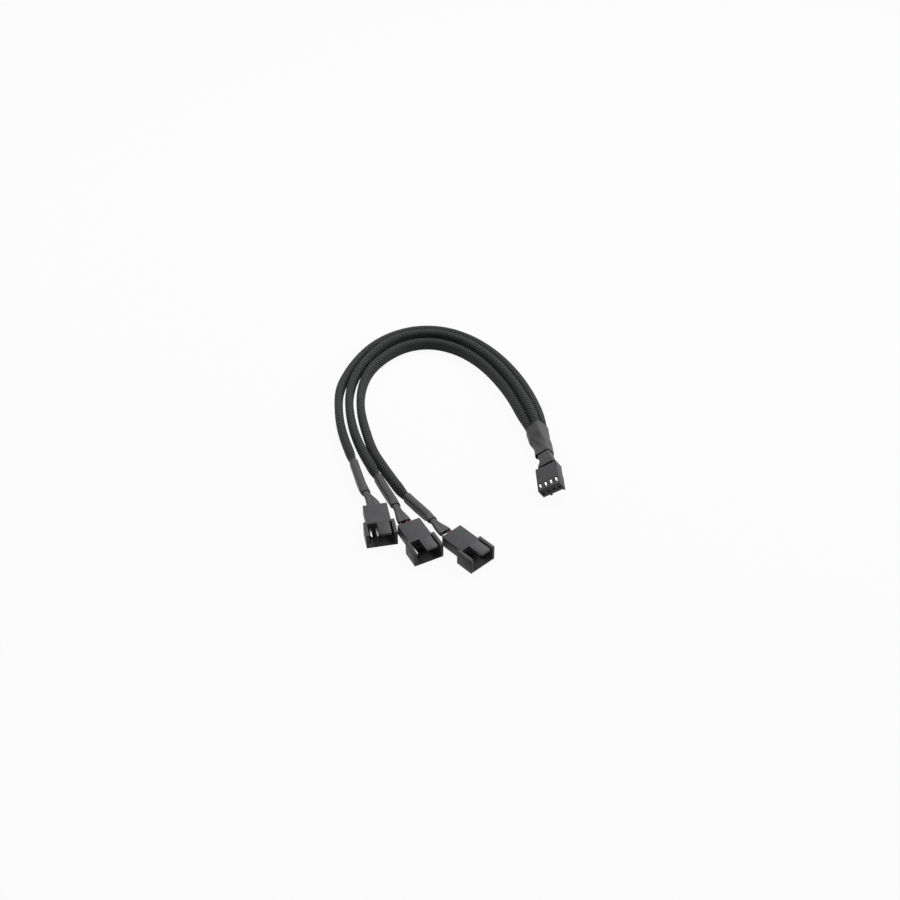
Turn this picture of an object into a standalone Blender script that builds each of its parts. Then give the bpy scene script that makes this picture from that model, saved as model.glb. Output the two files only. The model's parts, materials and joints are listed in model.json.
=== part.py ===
"""Fan splitter cable: one small four-way female plug feeds three shrouded male plugs through braided leads.

The cable lies on a table at z = 0 as a wide arch. The origin is on the table, under the middle of the
shroud of the middle male plug. X runs to the right, Y towards the arch and Z up. A plug has a frame of
its own: X towards its mating end, Y across it to the right of someone it points at, Z out of its top.
"""

import math

import bmesh
import bpy
import numpy as np
from mathutils import Euler, Vector

MM = 0.001

# Contacts: four on a standard pitch, counted from the speed control contact to the ground contact
CONTACTS = 4
PITCH = 2.54 * MM
PIN_SIDE = 0.64 * MM
PIN_HOLE_CLEARANCE = 0.15 * MM
CHANNEL_WIDTH = 1.7 * MM
CONTACT_SIDE_CLEARANCE = 0.15 * MM
TOUCH_GAP = 0.3 * MM

# Male plug: a body with the wire channels and a wider shroud round the pins
CAVITY_END_MARGIN = 1.49 * MM
CAVITY_HEIGHT = 5.2 * MM
CAVITY_DEPTH = 7.4 * MM
SHROUD_LENGTH = 8.3 * MM
SHROUD_SIDE_WALL = 1.1 * MM
SHROUD_TOP_WALL = 0.8 * MM
BODY_LENGTH = 10.1 * MM
BODY_END_MARGIN = 1.19 * MM
BODY_HEIGHT = 5.0 * MM
BODY_TOP_STEP = 0.1 * MM
MALE_CHANNEL_HEIGHT = 1.8 * MM
MALE_CHANNEL_FRONT_WALL = 1.2 * MM
MALE_CONTACT_LENGTH = 3.5 * MM
MALE_CRIMP_LENGTH = 2.5 * MM
PIN_TIP_SETBACK = 2.8 * MM
PIN_TIP_TAPER = 0.5 * MM
HOUSING_EDGE = 0.2 * MM
HOUSING_EDGE_SEGMENTS = 2

# Openings in the top of the shroud, from its left wall: lip, wide slot, tongue, narrow slot, lip
LEFT_LIP = 0.2 * MM
TONGUE_WIDTH = 5.0 * MM
NARROW_SLOT_WIDTH = 1.0 * MM
RIGHT_LIP = 0.3 * MM
WIDE_SLOT_LENGTH = 7.1 * MM
SLOT_CORNER = 0.7 * MM
SLOT_CORNER_SEGMENTS = 4
NARROW_SLOT_LENGTH = 7.0 * MM

# Female plug: fits the male cavity, its ribs fit the two slots
PLUG_CLEARANCE = 0.22 * MM
RIB_SIDE_CLEARANCE = 0.15 * MM
RIB_TOP_SETBACK = 0.1 * MM
WIDE_SLOT_RIB_WIDTH = 0.8 * MM
RIB_END_CLEARANCE = 0.3 * MM
FEMALE_LENGTH = 12.1 * MM
FEMALE_FRONT_WALL = 0.9 * MM
FEMALE_CONTACT_LENGTH = 5.5 * MM
FEMALE_CRIMP_LENGTH = 2.4 * MM
FEMALE_BORE_DEPTH = 4.6 * MM
WINDOW_WIDTH = 1.3 * MM
WINDOW_LENGTH = 2.5 * MM
WINDOW_SETBACK = 1.35 * MM
TANG_WIDTH = 0.8 * MM
TANG_LENGTH = 1.7 * MM
TANG_SETBACK = 0.4 * MM
TANG_FACE_DEPTH = 0.15 * MM
LEAD_IN_WIDTH = 0.35 * MM
LEAD_IN_DEPTH = 0.4 * MM

# Wires: up to three share a female contact, one above another
WIRE_DIAMETER = 0.9 * MM
WIRES_PER_CONTACT = 3
ROW_PITCH = 1.05 * MM
WIRE_STACK_CLEARANCE = 0.2 * MM
BUNDLE_PITCH = 0.5 * MM
BUNDLE_RISE = 0.45 * MM
STACK_PITCH = 1.0 * MM
BRAID_END_GAP = 0.7 * MM
WIRE_SEGMENTS = 2
WIRE_STEP = 2.0 * MM

# Braided leads: a flat cord that stands on its narrow edge
SLEEVE_WIDTH = 3.6 * MM
SLEEVE_HEIGHT = 5.8 * MM
SLEEVE_SQUEEZE = 0.72
TRUNK_SQUEEZE = 0.84
BRANCH_SQUEEZE_RUN = 7.0 * MM
TRUNK_SQUEEZE_RUN = 14.0 * MM
SLEEVE_STEP = 7.8 * MM
SLEEVE_SEGMENTS = 3

# Shrink sleeves: each wraps what it holds with a small gap
SHRINK_WALL = 0.3 * MM
SHRINK_GAP = 0.2 * MM
SKIN_POINTS = 16
SKIN_STEP = 2.0 * MM
SKIN_SHARP_ANGLE = math.radians(50)

# Male ends, by distance back from the housing's rear face
TAIL_MOUTH = {"a": 2.2 * MM, "b": 3.6 * MM, "c": 3.4 * MM}
TAIL_MOUTH_PITCH = 1.3 * MM
TAIL_MOUTH_RISE = 0.15 * MM
TAIL_FLARE_RUN = 8.5 * MM
BRANCH_SHRINK_START = {"a": 11.3 * MM, "b": 13.8 * MM, "c": 11.9 * MM}
BRANCH_SHRINK_LENGTH = {"a": 20.5 * MM, "b": 19.5 * MM, "c": 18.0 * MM}
BRANCH_SLEEVE_START = 4.5 * MM
TAIL_TUCK = 2.2 * MM
NECKING_RUN = 1.6 * MM

# Female end, by distance back from the housing's rear face
NECK_START = 1.1 * MM
NECK_MOUTH_PITCH = 2.1 * MM
NECK_FLARE_RUN = 4.0 * MM
NECK_PITCH = 1.4 * MM
NECK_TUCK = 3.5 * MM
NECK_LOOSE_SIDE = 1.0 * MM
TRUNK_START = 9.3 * MM
TRUNK_PITCH = 1.1 * MM
TRUNK_LENGTH = 19.7 * MM
TRUNK_SLEEVE_TUCK = 5.0 * MM
TRUNK_SLEEVE_SPACING = 2.9 * MM
TRUNK_MIDDLE_LIFT = 3.3 * MM
TRUNK_LOOSE_SIDE = 1.5 * MM

# Places of the plugs on the table: x, y and heading of the mating end in degrees
MALE_SPOTS = {"a": (-17.8, 9.0, -78.4), "b": (0.0, 0.0, -62.3), "c": (20.3, -3.3, -47.0)}
FEMALE_SPOT = (51.9, 39.6)
FEMALE_HEADING = -86.5
FEMALE_NOSE_DOWN = 9.2
FEMALE_ROLL = 33.0

# Turn of the wires' columns, in degrees from level, as the trunk goes from the female plug to the leads
NECK_MOUTH_TURN = 34.0
NECK_TURN = 37.0
TRUNK_TURN = 44.0
LEADS_TURN = 90.0

# Contacts that each male plug carries: only the first plug returns the speed signal
CONTACT_NAMES = ("control", "signal", "supply", "ground")
MALE_CONTACTS = {"a": (0, 1, 2, 3), "b": (0, 2, 3), "c": (0, 2, 3)}
LEAD_ROWS = {"c": 0, "b": 1, "a": 2}

# Free run of each lead in millimetres, from its branch shrink to the trunk
LEAD_ROUTES = {
    "a": (
        (-24.9, 33.5, 3.4), (-28.0, 42.5, 3.2), (-31.4, 54.4, 3.2), (-35.2, 66.8, 3.0), (-38.2, 79.2, 3.0),
        (-39.8, 92.0, 3.0), (-39.9, 103.0, 3.0), (-37.6, 114.0, 3.0), (-33.1, 125.8, 3.0), (-26.6, 136.8, 3.0),
        (-17.6, 145.4, 3.0), (-5.6, 150.4, 3.0), (7.0, 149.7, 3.0), (19.1, 143.4, 3.0), (29.9, 132.4, 3.0),
        (38.9, 117.9, 3.0), (45.7, 101.4, 3.0), (49.4, 87.4, 3.1), (50.9, 78.0, 3.3),
    ),
    "b": (
        (-12.2, 25.2, 3.4), (-16.2, 34.1, 3.2), (-22.0, 47.3, 3.2), (-27.0, 59.2, 3.0), (-31.2, 71.5, 3.0),
        (-34.2, 85.6, 3.0), (-35.3, 98.0, 3.1), (-34.6, 107.5, 3.4), (-32.2, 116.8, 3.8), (-27.5, 127.0, 4.1),
        (-20.8, 136.8, 4.3), (-10.2, 143.9, 4.5), (1.5, 145.4, 4.7), (13.3, 141.2, 4.8), (23.7, 132.0, 5.0),
        (32.6, 119.3, 5.2), (39.6, 104.7, 5.3), (44.1, 91.6, 5.8), (47.1, 79.5, 6.6),
    ),
    "c": (
        (3.1, 16.4, 3.4), (-1.0, 22.0, 3.2), (-8.2, 31.6, 3.1), (-13.2, 40.1, 3.0), (-17.3, 48.1, 3.0),
        (-22.2, 58.6, 3.0), (-26.2, 72.0, 3.0), (-29.2, 86.0, 3.0), (-30.2, 98.0, 3.0), (-29.4, 109.0, 3.0),
        (-26.0, 120.5, 3.0), (-19.6, 130.3, 3.0), (-11.4, 137.4, 3.0), (-1.4, 140.4, 3.0), (8.5, 138.3, 3.0),
        (18.0, 131.9, 3.0), (26.5, 121.8, 3.0), (33.9, 108.3, 3.0), (38.5, 97.0, 3.0), (41.9, 86.1, 3.1),
        (44.7, 77.2, 3.3),
    ),
}

# The trunk leaves the female plug straight back and sags a little. From there it bows off the straight line to
# its end by the leads: share of the way, offset to the right and height above the table, both in millimetres
NECK_RUN = 3.7 * MM
NECK_DROOP = 0.43 * MM
TRUNK_END = (47.1, 81.0, 3.2)
TRUNK_BOW = ((0.245, 0.8, 5.2), (0.45, 0.76, 3.9), (0.597, 0.31, 3.3), (0.792, 0.13, 3.3))

# Sizes that follow from the ones above
CONTACT_SPAN = (CONTACTS - 1) * PITCH
CAVITY_WIDTH = CONTACT_SPAN + 2 * CAVITY_END_MARGIN
SHROUD_WIDTH = CAVITY_WIDTH + 2 * SHROUD_SIDE_WALL
SHROUD_HEIGHT = CAVITY_HEIGHT + 2 * SHROUD_TOP_WALL
BODY_WIDTH = CONTACT_SPAN + 2 * BODY_END_MARGIN
BODY_TOP = SHROUD_HEIGHT - BODY_TOP_STEP
PIN_HEIGHT = SHROUD_HEIGHT / 2
PIN_HOLE = PIN_SIDE + 2 * PIN_HOLE_CLEARANCE
CONTACT_WIDTH = CHANNEL_WIDTH - 2 * CONTACT_SIDE_CLEARANCE
MALE_CHANNEL_LENGTH = BODY_LENGTH - MALE_CHANNEL_FRONT_WALL
MALE_REAR = -SHROUD_LENGTH / 2 - BODY_LENGTH
MALE_WIRE_SEAT = MALE_CHANNEL_LENGTH - MALE_CONTACT_LENGTH - MALE_CRIMP_LENGTH - 2 * TOUCH_GAP
NARROW_SLOT_RIGHT = CAVITY_WIDTH / 2 - RIGHT_LIP
TONGUE_RIGHT = NARROW_SLOT_RIGHT - NARROW_SLOT_WIDTH
TONGUE_LEFT = TONGUE_RIGHT - TONGUE_WIDTH
WIDE_SLOT_LEFT = -CAVITY_WIDTH / 2 + LEFT_LIP
FEMALE_WIDTH = CAVITY_WIDTH - 2 * PLUG_CLEARANCE
FEMALE_THICKNESS = CAVITY_HEIGHT - 2 * PLUG_CLEARANCE
FEMALE_CHANNEL_HEIGHT = (WIRES_PER_CONTACT - 1) * ROW_PITCH + WIRE_DIAMETER + 2 * WIRE_STACK_CLEARANCE
FEMALE_CHANNEL_LENGTH = FEMALE_LENGTH - FEMALE_FRONT_WALL
FEMALE_CONTACT_HEIGHT = FEMALE_CHANNEL_HEIGHT - 2 * TOUCH_GAP
FEMALE_WIRE_SEAT = FEMALE_CHANNEL_LENGTH - FEMALE_CONTACT_LENGTH - FEMALE_CRIMP_LENGTH - 2 * TOUCH_GAP
RIB_HEIGHT = PLUG_CLEARANCE + SHROUD_TOP_WALL - RIB_TOP_SETBACK
RIB_LENGTH = WIDE_SLOT_LENGTH - RIB_END_CLEARANCE
SLEEVE_STRAIGHT = (SLEEVE_HEIGHT - SLEEVE_WIDTH) / 2
TRUNK_SLEEVE_END = TRUNK_START + TRUNK_LENGTH - TRUNK_SLEEVE_TUCK

NYLON = ("black_nylon", (0.038, 0.038, 0.04), 0.42, 0.0)
SHRINK = ("black_shrink", (0.034, 0.034, 0.034), 0.55, 0.0)
BRAID = ("braided_sleeve", (0.018, 0.02, 0.019), 0.7, 0.0)
TINNED = ("tinned_contact", (0.74, 0.73, 0.7), 0.28, 1.0)
BLACK_WIRE = ("black_wire", (0.014, 0.014, 0.014), 0.4, 0.0)
RED_WIRE = ("red_wire", (0.42, 0.012, 0.01), 0.4, 0.0)


def clear_scene():
    for old in list(bpy.data.objects):
        bpy.data.objects.remove(old, do_unlink=True)


def collection(name):
    made = bpy.data.collections.new(name)
    bpy.context.scene.collection.children.link(made)
    return made


def material(look):
    name, colour, roughness, metallic = look
    made = bpy.data.materials.get(name)
    if made is None:
        made = bpy.data.materials.new(name)
        made.use_nodes = True
        shader = made.node_tree.nodes["Principled BSDF"]
        shader.inputs["Base Color"].default_value = (*colour, 1.0)
        shader.inputs["Roughness"].default_value = roughness
        shader.inputs["Metallic"].default_value = metallic
    return made


def add_object(name, data, look, holder=None):
    made = bpy.data.objects.new(name, data)
    made.parent = holder
    if look is None:
        CUTTERS.objects.link(made)
        made.hide_render = True
        made.display_type = "WIRE"
    else:
        PARTS.objects.link(made)
        data.materials.append(material(look))
    return made


def add_frame(name, place, rotation):
    made = bpy.data.objects.new(name, None)
    made.location = place
    made.rotation_euler = rotation
    PARTS.objects.link(made)
    return made


def blocks(name, spans, look, holder):
    """Boxes in one object, each given by its (low, high) span along X, Y and Z."""
    bm = bmesh.new()
    for span in spans:
        corners = bmesh.ops.create_cube(bm, size=1.0)["verts"]
        bmesh.ops.scale(bm, vec=[high - low for low, high in span], verts=corners)
        bmesh.ops.translate(bm, vec=[(high + low) / 2 for low, high in span], verts=corners)
    mesh = bpy.data.meshes.new(name)
    bm.to_mesh(mesh)
    bm.free()
    return add_object(name, mesh, look, holder)


def round_edges(made, width):
    bevel = made.modifiers.new("edges", "BEVEL")
    bevel.width = width
    bevel.segments = HOUSING_EDGE_SEGMENTS
    bevel.limit_method = "ANGLE"


def combine(made, other, operation):
    boolean = made.modifiers.new(other.name, "BOOLEAN")
    boolean.operation = operation
    boolean.object = other
    boolean.solver = "EXACT"


def loft(name, rings, look, holder=None, capped=False):
    """Skin over rings of equally many points, closed by flat ends where it is capped."""
    bm = bmesh.new()
    rows = [[bm.verts.new(Vector(point)) for point in ring] for ring in rings]
    count = len(rows[0])
    for low, high in zip(rows, rows[1:]):
        for i in range(count):
            after = (i + 1) % count
            bm.faces.new((low[i], low[after], high[after], high[i]))
    if capped:
        bm.faces.new(list(reversed(rows[0])))
        bm.faces.new(rows[-1])
    mesh = bpy.data.meshes.new(name)
    bm.to_mesh(mesh)
    bm.free()
    return add_object(name, mesh, look, holder)


def stepped_bar(name, sections, centre, look, holder):
    """Bar along X through rectangles given as (x, width, height), about a centre in Y and Z."""
    y, z = centre
    rings = []
    for x, width, height in sections:
        w, h = width / 2, height / 2
        rings.append([(x, y - w, z - h), (x, y + w, z - h), (x, y + w, z + h), (x, y - w, z + h)])
    return loft(name, rings, look, holder, capped=True)


def contact_offset(index):
    return (index - (CONTACTS - 1) / 2) * PITCH


def unit(vector):
    return vector / np.linalg.norm(vector)


def natural_cubic(at, values, wanted):
    """Smoothest line through the values, each held at its place in at."""
    gaps = np.diff(at)
    slopes = np.diff(values, axis=0) / gaps[:, None]
    system = np.eye(len(at))
    right = np.zeros_like(values)
    for i in range(1, len(at) - 1):
        system[i, i - 1 : i + 2] = gaps[i - 1], 2 * (gaps[i - 1] + gaps[i]), gaps[i]
        right[i] = 6 * (slopes[i] - slopes[i - 1])
    bend = np.linalg.solve(system, right)
    i = np.clip(np.searchsorted(at, wanted) - 1, 0, len(at) - 2)
    gap = gaps[i][:, None]
    after = (wanted - at[i])[:, None]
    before = gap - after
    straight = values[i] * before / gap + values[i + 1] * after / gap
    bend_before = bend[i] * (before**3 / gap - gap * before)
    bend_after = bend[i + 1] * (after**3 / gap - gap * after)
    return straight + (bend_before + bend_after) / 6


class Path:
    """Smooth line through a short route, read by the distance along it."""

    POINTS_PER_KNOT = 40
    NEARNESS_WEIGHT = 0.1

    def __init__(self, route):
        knots = np.array(route, float)
        chord = np.r_[0, np.cumsum(np.linalg.norm(np.diff(knots, axis=0), axis=1))]
        wanted = np.linspace(0, chord[-1], self.POINTS_PER_KNOT * len(knots))
        self.points = natural_cubic(chord, knots, wanted)
        self.run = np.r_[0, np.cumsum(np.linalg.norm(np.diff(self.points, axis=0), axis=1))]
        self.length = self.run[-1]

    def point(self, distance):
        return np.array([np.interp(distance, self.run, self.points[:, axis]) for axis in range(3)])

    def frame(self, distance):
        """Unit vectors along the line, level across it to the right, and up from it."""
        near = 0.5 * MM
        along = unit(self.point(distance + near) - self.point(distance - near))
        across = unit(np.cross(along, (0, 0, 1)))
        return along, across, np.cross(across, along)

    def crossing(self, origin, along):
        """Point of the line that lies in the plane through origin, nearest to origin."""
        offsets = self.points - origin
        cost = np.abs(offsets @ along) + self.NEARNESS_WEIGHT * np.linalg.norm(offsets, axis=1)
        return self.points[np.argmin(cost)]


def eased(distance, stops, values):
    """Value at a distance, moving gently from each stop's value to the next."""
    i = int(np.clip(np.searchsorted(stops, distance) - 1, 0, len(stops) - 2))
    share = np.clip((distance - stops[i]) / (stops[i + 1] - stops[i]), 0, 1)
    share = share * share * (3 - 2 * share)
    return values[i] + (values[i + 1] - values[i]) * share


def cord(name, points, look, width, segments, straight=0.0, scales=None):
    """Solid cord through points. Its section is round, or flat with a straight part in the middle."""
    curve = bpy.data.curves.new(name, "CURVE")
    curve.dimensions = "3D"
    curve.bevel_depth = width / 2
    curve.bevel_resolution = segments
    curve.extrude = straight
    curve.use_fill_caps = True
    curve.twist_mode = "Z_UP"
    spline = curve.splines.new("POLY")
    spline.points.add(len(points) - 1)
    for i, point in enumerate(points):
        spline.points[i].co = (*point, 1.0)
        spline.points[i].radius = 1.0 if scales is None else scales[i]
    return add_object(name, curve, look)


def skin_ring(origin, across, up, centres, reach):
    """Outline of a skin stretched round circles of one radius, in the plane of across and up."""
    ring = []
    for turn in np.linspace(0, 2 * math.pi, SKIN_POINTS, endpoint=False):
        normal = np.array((math.cos(turn), math.sin(turn)))
        outermost = max(centres, key=lambda centre: float(np.dot(centre, normal)))
        flat = np.array(outermost) + reach * normal
        ring.append(origin + flat[0] * across + flat[1] * up)
    return ring


def shrink_sleeve(name, rings):
    """Tube of even wall whose outer face is the skin over the rings."""
    made = loft(name, rings, SHRINK)
    wall = made.modifiers.new("wall", "SOLIDIFY")
    wall.thickness = SHRINK_WALL
    wall.offset = -1.0
    wall.use_even_offset = True
    made.data.shade_smooth()
    made.data.set_sharp_from_angle(angle=SKIN_SHARP_ANGLE)
    return made


def stations(start, end, step):
    return np.linspace(start, end, max(2, round((end - start) / step) + 1))


def male_frame(lead):
    x, y, heading = MALE_SPOTS[lead]
    return add_frame(f"male_frame_{lead}", (x * MM, y * MM, 0.0), (0.0, 0.0, math.radians(heading)))


def male_housing(lead, holder):
    """Body with a channel for each wire and a shroud that stands wider and deeper than the body."""
    rim = SHROUD_LENGTH / 2
    far = 2 * SHROUD_LENGTH
    body_side = (-BODY_WIDTH / 2, BODY_WIDTH / 2)
    body_span = ((MALE_REAR, -rim + CAVITY_DEPTH / 4), body_side, (BODY_TOP - BODY_HEIGHT, BODY_TOP))
    body = blocks(f"male_housing_{lead}", [body_span], NYLON, holder)
    round_edges(body, HOUSING_EDGE)
    shroud_span = ((-rim, rim), (-SHROUD_WIDTH / 2, SHROUD_WIDTH / 2), (0.0, SHROUD_HEIGHT))
    shroud = blocks(f"shroud_{lead}", [shroud_span], None, holder)
    round_edges(shroud, HOUSING_EDGE)
    combine(body, shroud, "UNION")

    cavity_floor = rim - CAVITY_DEPTH
    cavity_span = (
        (cavity_floor, far),
        (-CAVITY_WIDTH / 2, CAVITY_WIDTH / 2),
        (SHROUD_TOP_WALL, SHROUD_TOP_WALL + CAVITY_HEIGHT),
    )
    combine(body, blocks(f"cavity_{lead}", [cavity_span], None, holder), "DIFFERENCE")

    roof = SHROUD_HEIGHT - SHROUD_TOP_WALL
    slot_height = (roof - SHROUD_TOP_WALL / 2, 2 * SHROUD_HEIGHT)
    slots = [
        ((rim - WIDE_SLOT_LENGTH, far), (WIDE_SLOT_LEFT, TONGUE_LEFT), slot_height),
        ((rim - NARROW_SLOT_LENGTH, far), (TONGUE_RIGHT, NARROW_SLOT_RIGHT), slot_height),
    ]
    combine(body, blocks(f"slots_{lead}", slots, None, holder), "DIFFERENCE")
    for i, (y, side) in enumerate(((WIDE_SLOT_LEFT, -1), (TONGUE_LEFT, 1), (TONGUE_RIGHT, -1))):
        combine(body, corner_cutter(f"corner_{lead}_{i}", rim, y, side, slot_height, holder), "DIFFERENCE")

    half = CHANNEL_WIDTH / 2
    channel_height = (PIN_HEIGHT - MALE_CHANNEL_HEIGHT / 2, PIN_HEIGHT + MALE_CHANNEL_HEIGHT / 2)
    hole_height = (PIN_HEIGHT - PIN_HOLE / 2, PIN_HEIGHT + PIN_HOLE / 2)
    channel_x = (2 * MALE_REAR, MALE_REAR + MALE_CHANNEL_LENGTH)
    hole_x = (MALE_REAR + MALE_CHANNEL_LENGTH / 2, cavity_floor + CAVITY_DEPTH / 2)
    channels = []
    holes = []
    for index in range(CONTACTS):
        y = contact_offset(index)
        channels.append((channel_x, (y - half, y + half), channel_height))
        holes.append((hole_x, (y - PIN_HOLE / 2, y + PIN_HOLE / 2), hole_height))
    combine(body, blocks(f"channels_{lead}", channels, None, holder), "DIFFERENCE")
    combine(body, blocks(f"pin_holes_{lead}", holes, None, holder), "DIFFERENCE")


def corner_cutter(name, x, y, side, height, holder):
    """Prism that rounds the front corner at (x, y) of a wall, which lies on the given side of y."""
    past = SLOT_CORNER / 4
    outline = [
        (x - SLOT_CORNER, y - side * past),
        (x + past, y - side * past),
        (x + past, y + side * SLOT_CORNER),
    ]
    for turn in np.linspace(0, math.pi / 2, SLOT_CORNER_SEGMENTS + 1):
        inward = SLOT_CORNER * (1 - math.cos(turn))
        outline.append((x - inward, y + side * SLOT_CORNER * (1 - math.sin(turn))))
    rings = [[(*point, z) for point in outline[::side]] for z in height]
    return loft(name, rings, None, holder, capped=True)


def male_pin(lead, index, holder):
    """Crimp, contact body and square pin of one stamped contact."""
    front = MALE_REAR + MALE_CHANNEL_LENGTH - TOUCH_GAP
    shoulder = front - MALE_CONTACT_LENGTH
    tip = SHROUD_LENGTH / 2 - PIN_TIP_SETBACK
    height = MALE_CHANNEL_HEIGHT - 2 * TOUCH_GAP
    sections = (
        (shoulder - MALE_CRIMP_LENGTH, WIRE_DIAMETER, WIRE_DIAMETER),
        (shoulder, WIRE_DIAMETER, WIRE_DIAMETER),
        (shoulder, CONTACT_WIDTH, height),
        (front, CONTACT_WIDTH, height),
        (front, PIN_SIDE, PIN_SIDE),
        (tip - PIN_TIP_TAPER, PIN_SIDE, PIN_SIDE),
        (tip, PIN_SIDE / 2, PIN_SIDE / 2),
    )
    name = f"male_pin_{lead}_{CONTACT_NAMES[index]}"
    stepped_bar(name, sections, (contact_offset(index), PIN_HEIGHT), TINNED, holder)


def female_frame():
    """Frame at the housing's middle, high enough for its lowest corner to touch the table."""
    angles = (FEMALE_ROLL, FEMALE_NOSE_DOWN, FEMALE_HEADING)
    rotation = Euler([math.radians(angle) for angle in angles], "XYZ")
    reach = Vector((FEMALE_LENGTH / 2, FEMALE_WIDTH / 2, FEMALE_THICKNESS / 2))
    tilt = rotation.to_matrix()
    height = sum(abs(tilt[2][axis]) * reach[axis] for axis in range(3))
    return add_frame("female_frame", (FEMALE_SPOT[0] * MM, FEMALE_SPOT[1] * MM, height), rotation)


def female_housing(holder):
    """Block with four channels, a square hole for each pin, four windows on top and two ribs below."""
    front = FEMALE_LENGTH / 2
    rear = -front
    top = FEMALE_THICKNESS / 2
    block_span = ((rear, front), (-FEMALE_WIDTH / 2, FEMALE_WIDTH / 2), (-top, top))
    housing = blocks("female_housing", [block_span], NYLON, holder)
    round_edges(housing, HOUSING_EDGE)

    rib_x = (front - RIB_LENGTH, front - HOUSING_EDGE)
    rib_z = (-top - RIB_HEIGHT, 0.0)
    left_rib_right = TONGUE_LEFT - RIB_SIDE_CLEARANCE
    left_rib = (rib_x, (left_rib_right - WIDE_SLOT_RIB_WIDTH, left_rib_right), rib_z)
    right_rib = (rib_x, (TONGUE_RIGHT + RIB_SIDE_CLEARANCE, NARROW_SLOT_RIGHT - RIB_SIDE_CLEARANCE), rib_z)
    combine(housing, blocks("ribs", [left_rib, right_rib], None, holder), "UNION")

    channels = []
    holes = []
    windows = []
    for index in range(CONTACTS):
        y = contact_offset(index)
        side = (y - CHANNEL_WIDTH / 2, y + CHANNEL_WIDTH / 2)
        channel_z = (-FEMALE_CHANNEL_HEIGHT / 2, FEMALE_CHANNEL_HEIGHT / 2)
        channels.append(((2 * rear, front - FEMALE_FRONT_WALL), side, channel_z))
        hole_side = (y - PIN_HOLE / 2, y + PIN_HOLE / 2)
        holes.append(((0.0, 2 * front), hole_side, (-PIN_HOLE / 2, PIN_HOLE / 2)))
        window_x = (front - WINDOW_SETBACK - WINDOW_LENGTH, front - WINDOW_SETBACK)
        windows.append((window_x, (y - WINDOW_WIDTH / 2, y + WINDOW_WIDTH / 2), (0.0, 2 * top)))
    combine(housing, blocks("female_channels", channels, None, holder), "DIFFERENCE")
    combine(housing, blocks("female_pin_holes", holes, None, holder), "DIFFERENCE")
    combine(housing, blocks("female_windows", windows, None, holder), "DIFFERENCE")

    for index in range(CONTACTS):
        mouth = PIN_HOLE + 2 * LEAD_IN_WIDTH
        past = LEAD_IN_DEPTH / 4
        slope = (mouth - PIN_HOLE) / LEAD_IN_DEPTH
        sections = (
            (front - LEAD_IN_DEPTH, PIN_HOLE, PIN_HOLE),
            (front + past, mouth + slope * past, mouth + slope * past),
        )
        lead_in = stepped_bar(f"lead_in_{index}", sections, (contact_offset(index), 0.0), None, holder)
        combine(housing, lead_in, "DIFFERENCE")


def female_terminal(index, holder):
    """Contact box with a bore for the pin, a tang that catches in the window, and a crimp."""
    front = FEMALE_LENGTH / 2 - FEMALE_FRONT_WALL - TOUCH_GAP
    shoulder = front - FEMALE_CONTACT_LENGTH
    crimp_height = (WIRES_PER_CONTACT - 1) * ROW_PITCH + WIRE_DIAMETER
    y = contact_offset(index)
    sections = (
        (shoulder - FEMALE_CRIMP_LENGTH, WIRE_DIAMETER, crimp_height),
        (shoulder, WIRE_DIAMETER, crimp_height - TOUCH_GAP),
        (shoulder, CONTACT_WIDTH, FEMALE_CONTACT_HEIGHT),
        (front, CONTACT_WIDTH, FEMALE_CONTACT_HEIGHT),
    )
    terminal = stepped_bar(f"female_terminal_{index + 1}", sections, (y, 0.0), TINNED, holder)
    bore_side = (y - PIN_SIDE / 2 - PIN_HOLE_CLEARANCE, y + PIN_SIDE / 2 + PIN_HOLE_CLEARANCE)
    bore = ((front - FEMALE_BORE_DEPTH, 2 * front), bore_side, (-PIN_HOLE / 2, PIN_HOLE / 2))
    combine(terminal, blocks(f"bore_{index}", [bore], None, holder), "DIFFERENCE")

    tang_front = FEMALE_LENGTH / 2 - WINDOW_SETBACK - TANG_SETBACK
    tang_top = FEMALE_THICKNESS / 2 - TANG_FACE_DEPTH
    tang_root = FEMALE_CONTACT_HEIGHT / 2 - TOUCH_GAP
    rings = []
    for side in (y + TANG_WIDTH / 2, y - TANG_WIDTH / 2):
        rings.append(
            [
                (tang_front, side, tang_root),
                (tang_front, side, tang_root + TOUCH_GAP),
                (tang_front - TANG_LENGTH, side, tang_top),
                (tang_front - TANG_LENGTH, side, tang_root),
            ]
        )
    combine(terminal, loft(f"tang_{index}", rings, None, holder, capped=True), "UNION")


def branch_path(lead, holder):
    """Line of one lead, from the wires' seat in its plug to its end in the trunk shrink."""
    heading = math.radians(MALE_SPOTS[lead][2])
    forward = np.array((math.cos(heading), math.sin(heading), 0.0))
    rear = np.array(holder.location) + MALE_REAR * forward + np.array((0.0, 0.0, PIN_HEIGHT))
    start = [rear + MALE_WIRE_SEAT * forward, rear, rear - TAIL_MOUTH[lead] * forward]
    row = LEAD_ROWS[lead] - 1
    origin = TRUNK.point(FEMALE_WIRE_SEAT + TRUNK_SLEEVE_END)
    across, up = TRUNK.frame(FEMALE_WIRE_SEAT + TRUNK_SLEEVE_END)[1:]
    end = origin + row * TRUNK_SLEEVE_SPACING * across + (1 - abs(row)) * TRUNK_MIDDLE_LIFT * up
    return Path([*start, *(np.array(LEAD_ROUTES[lead]) * MM), end])


def branch_places(lead, distance):
    """Places of a lead's wires across its line: a level row in the plug, drawn into a zigzag bundle."""
    mouth = MALE_WIRE_SEAT + TAIL_MOUTH[lead]
    stops = (MALE_WIRE_SEAT, mouth, mouth + TAIL_FLARE_RUN)
    pitch = eased(distance, stops, (PITCH, TAIL_MOUTH_PITCH, BUNDLE_PITCH))
    rise = eased(distance, stops, (0.0, TAIL_MOUTH_RISE, BUNDLE_RISE))
    return [((index - (CONTACTS - 1) / 2) * pitch, rise * (-1) ** index) for index in MALE_CONTACTS[lead]]


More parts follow.
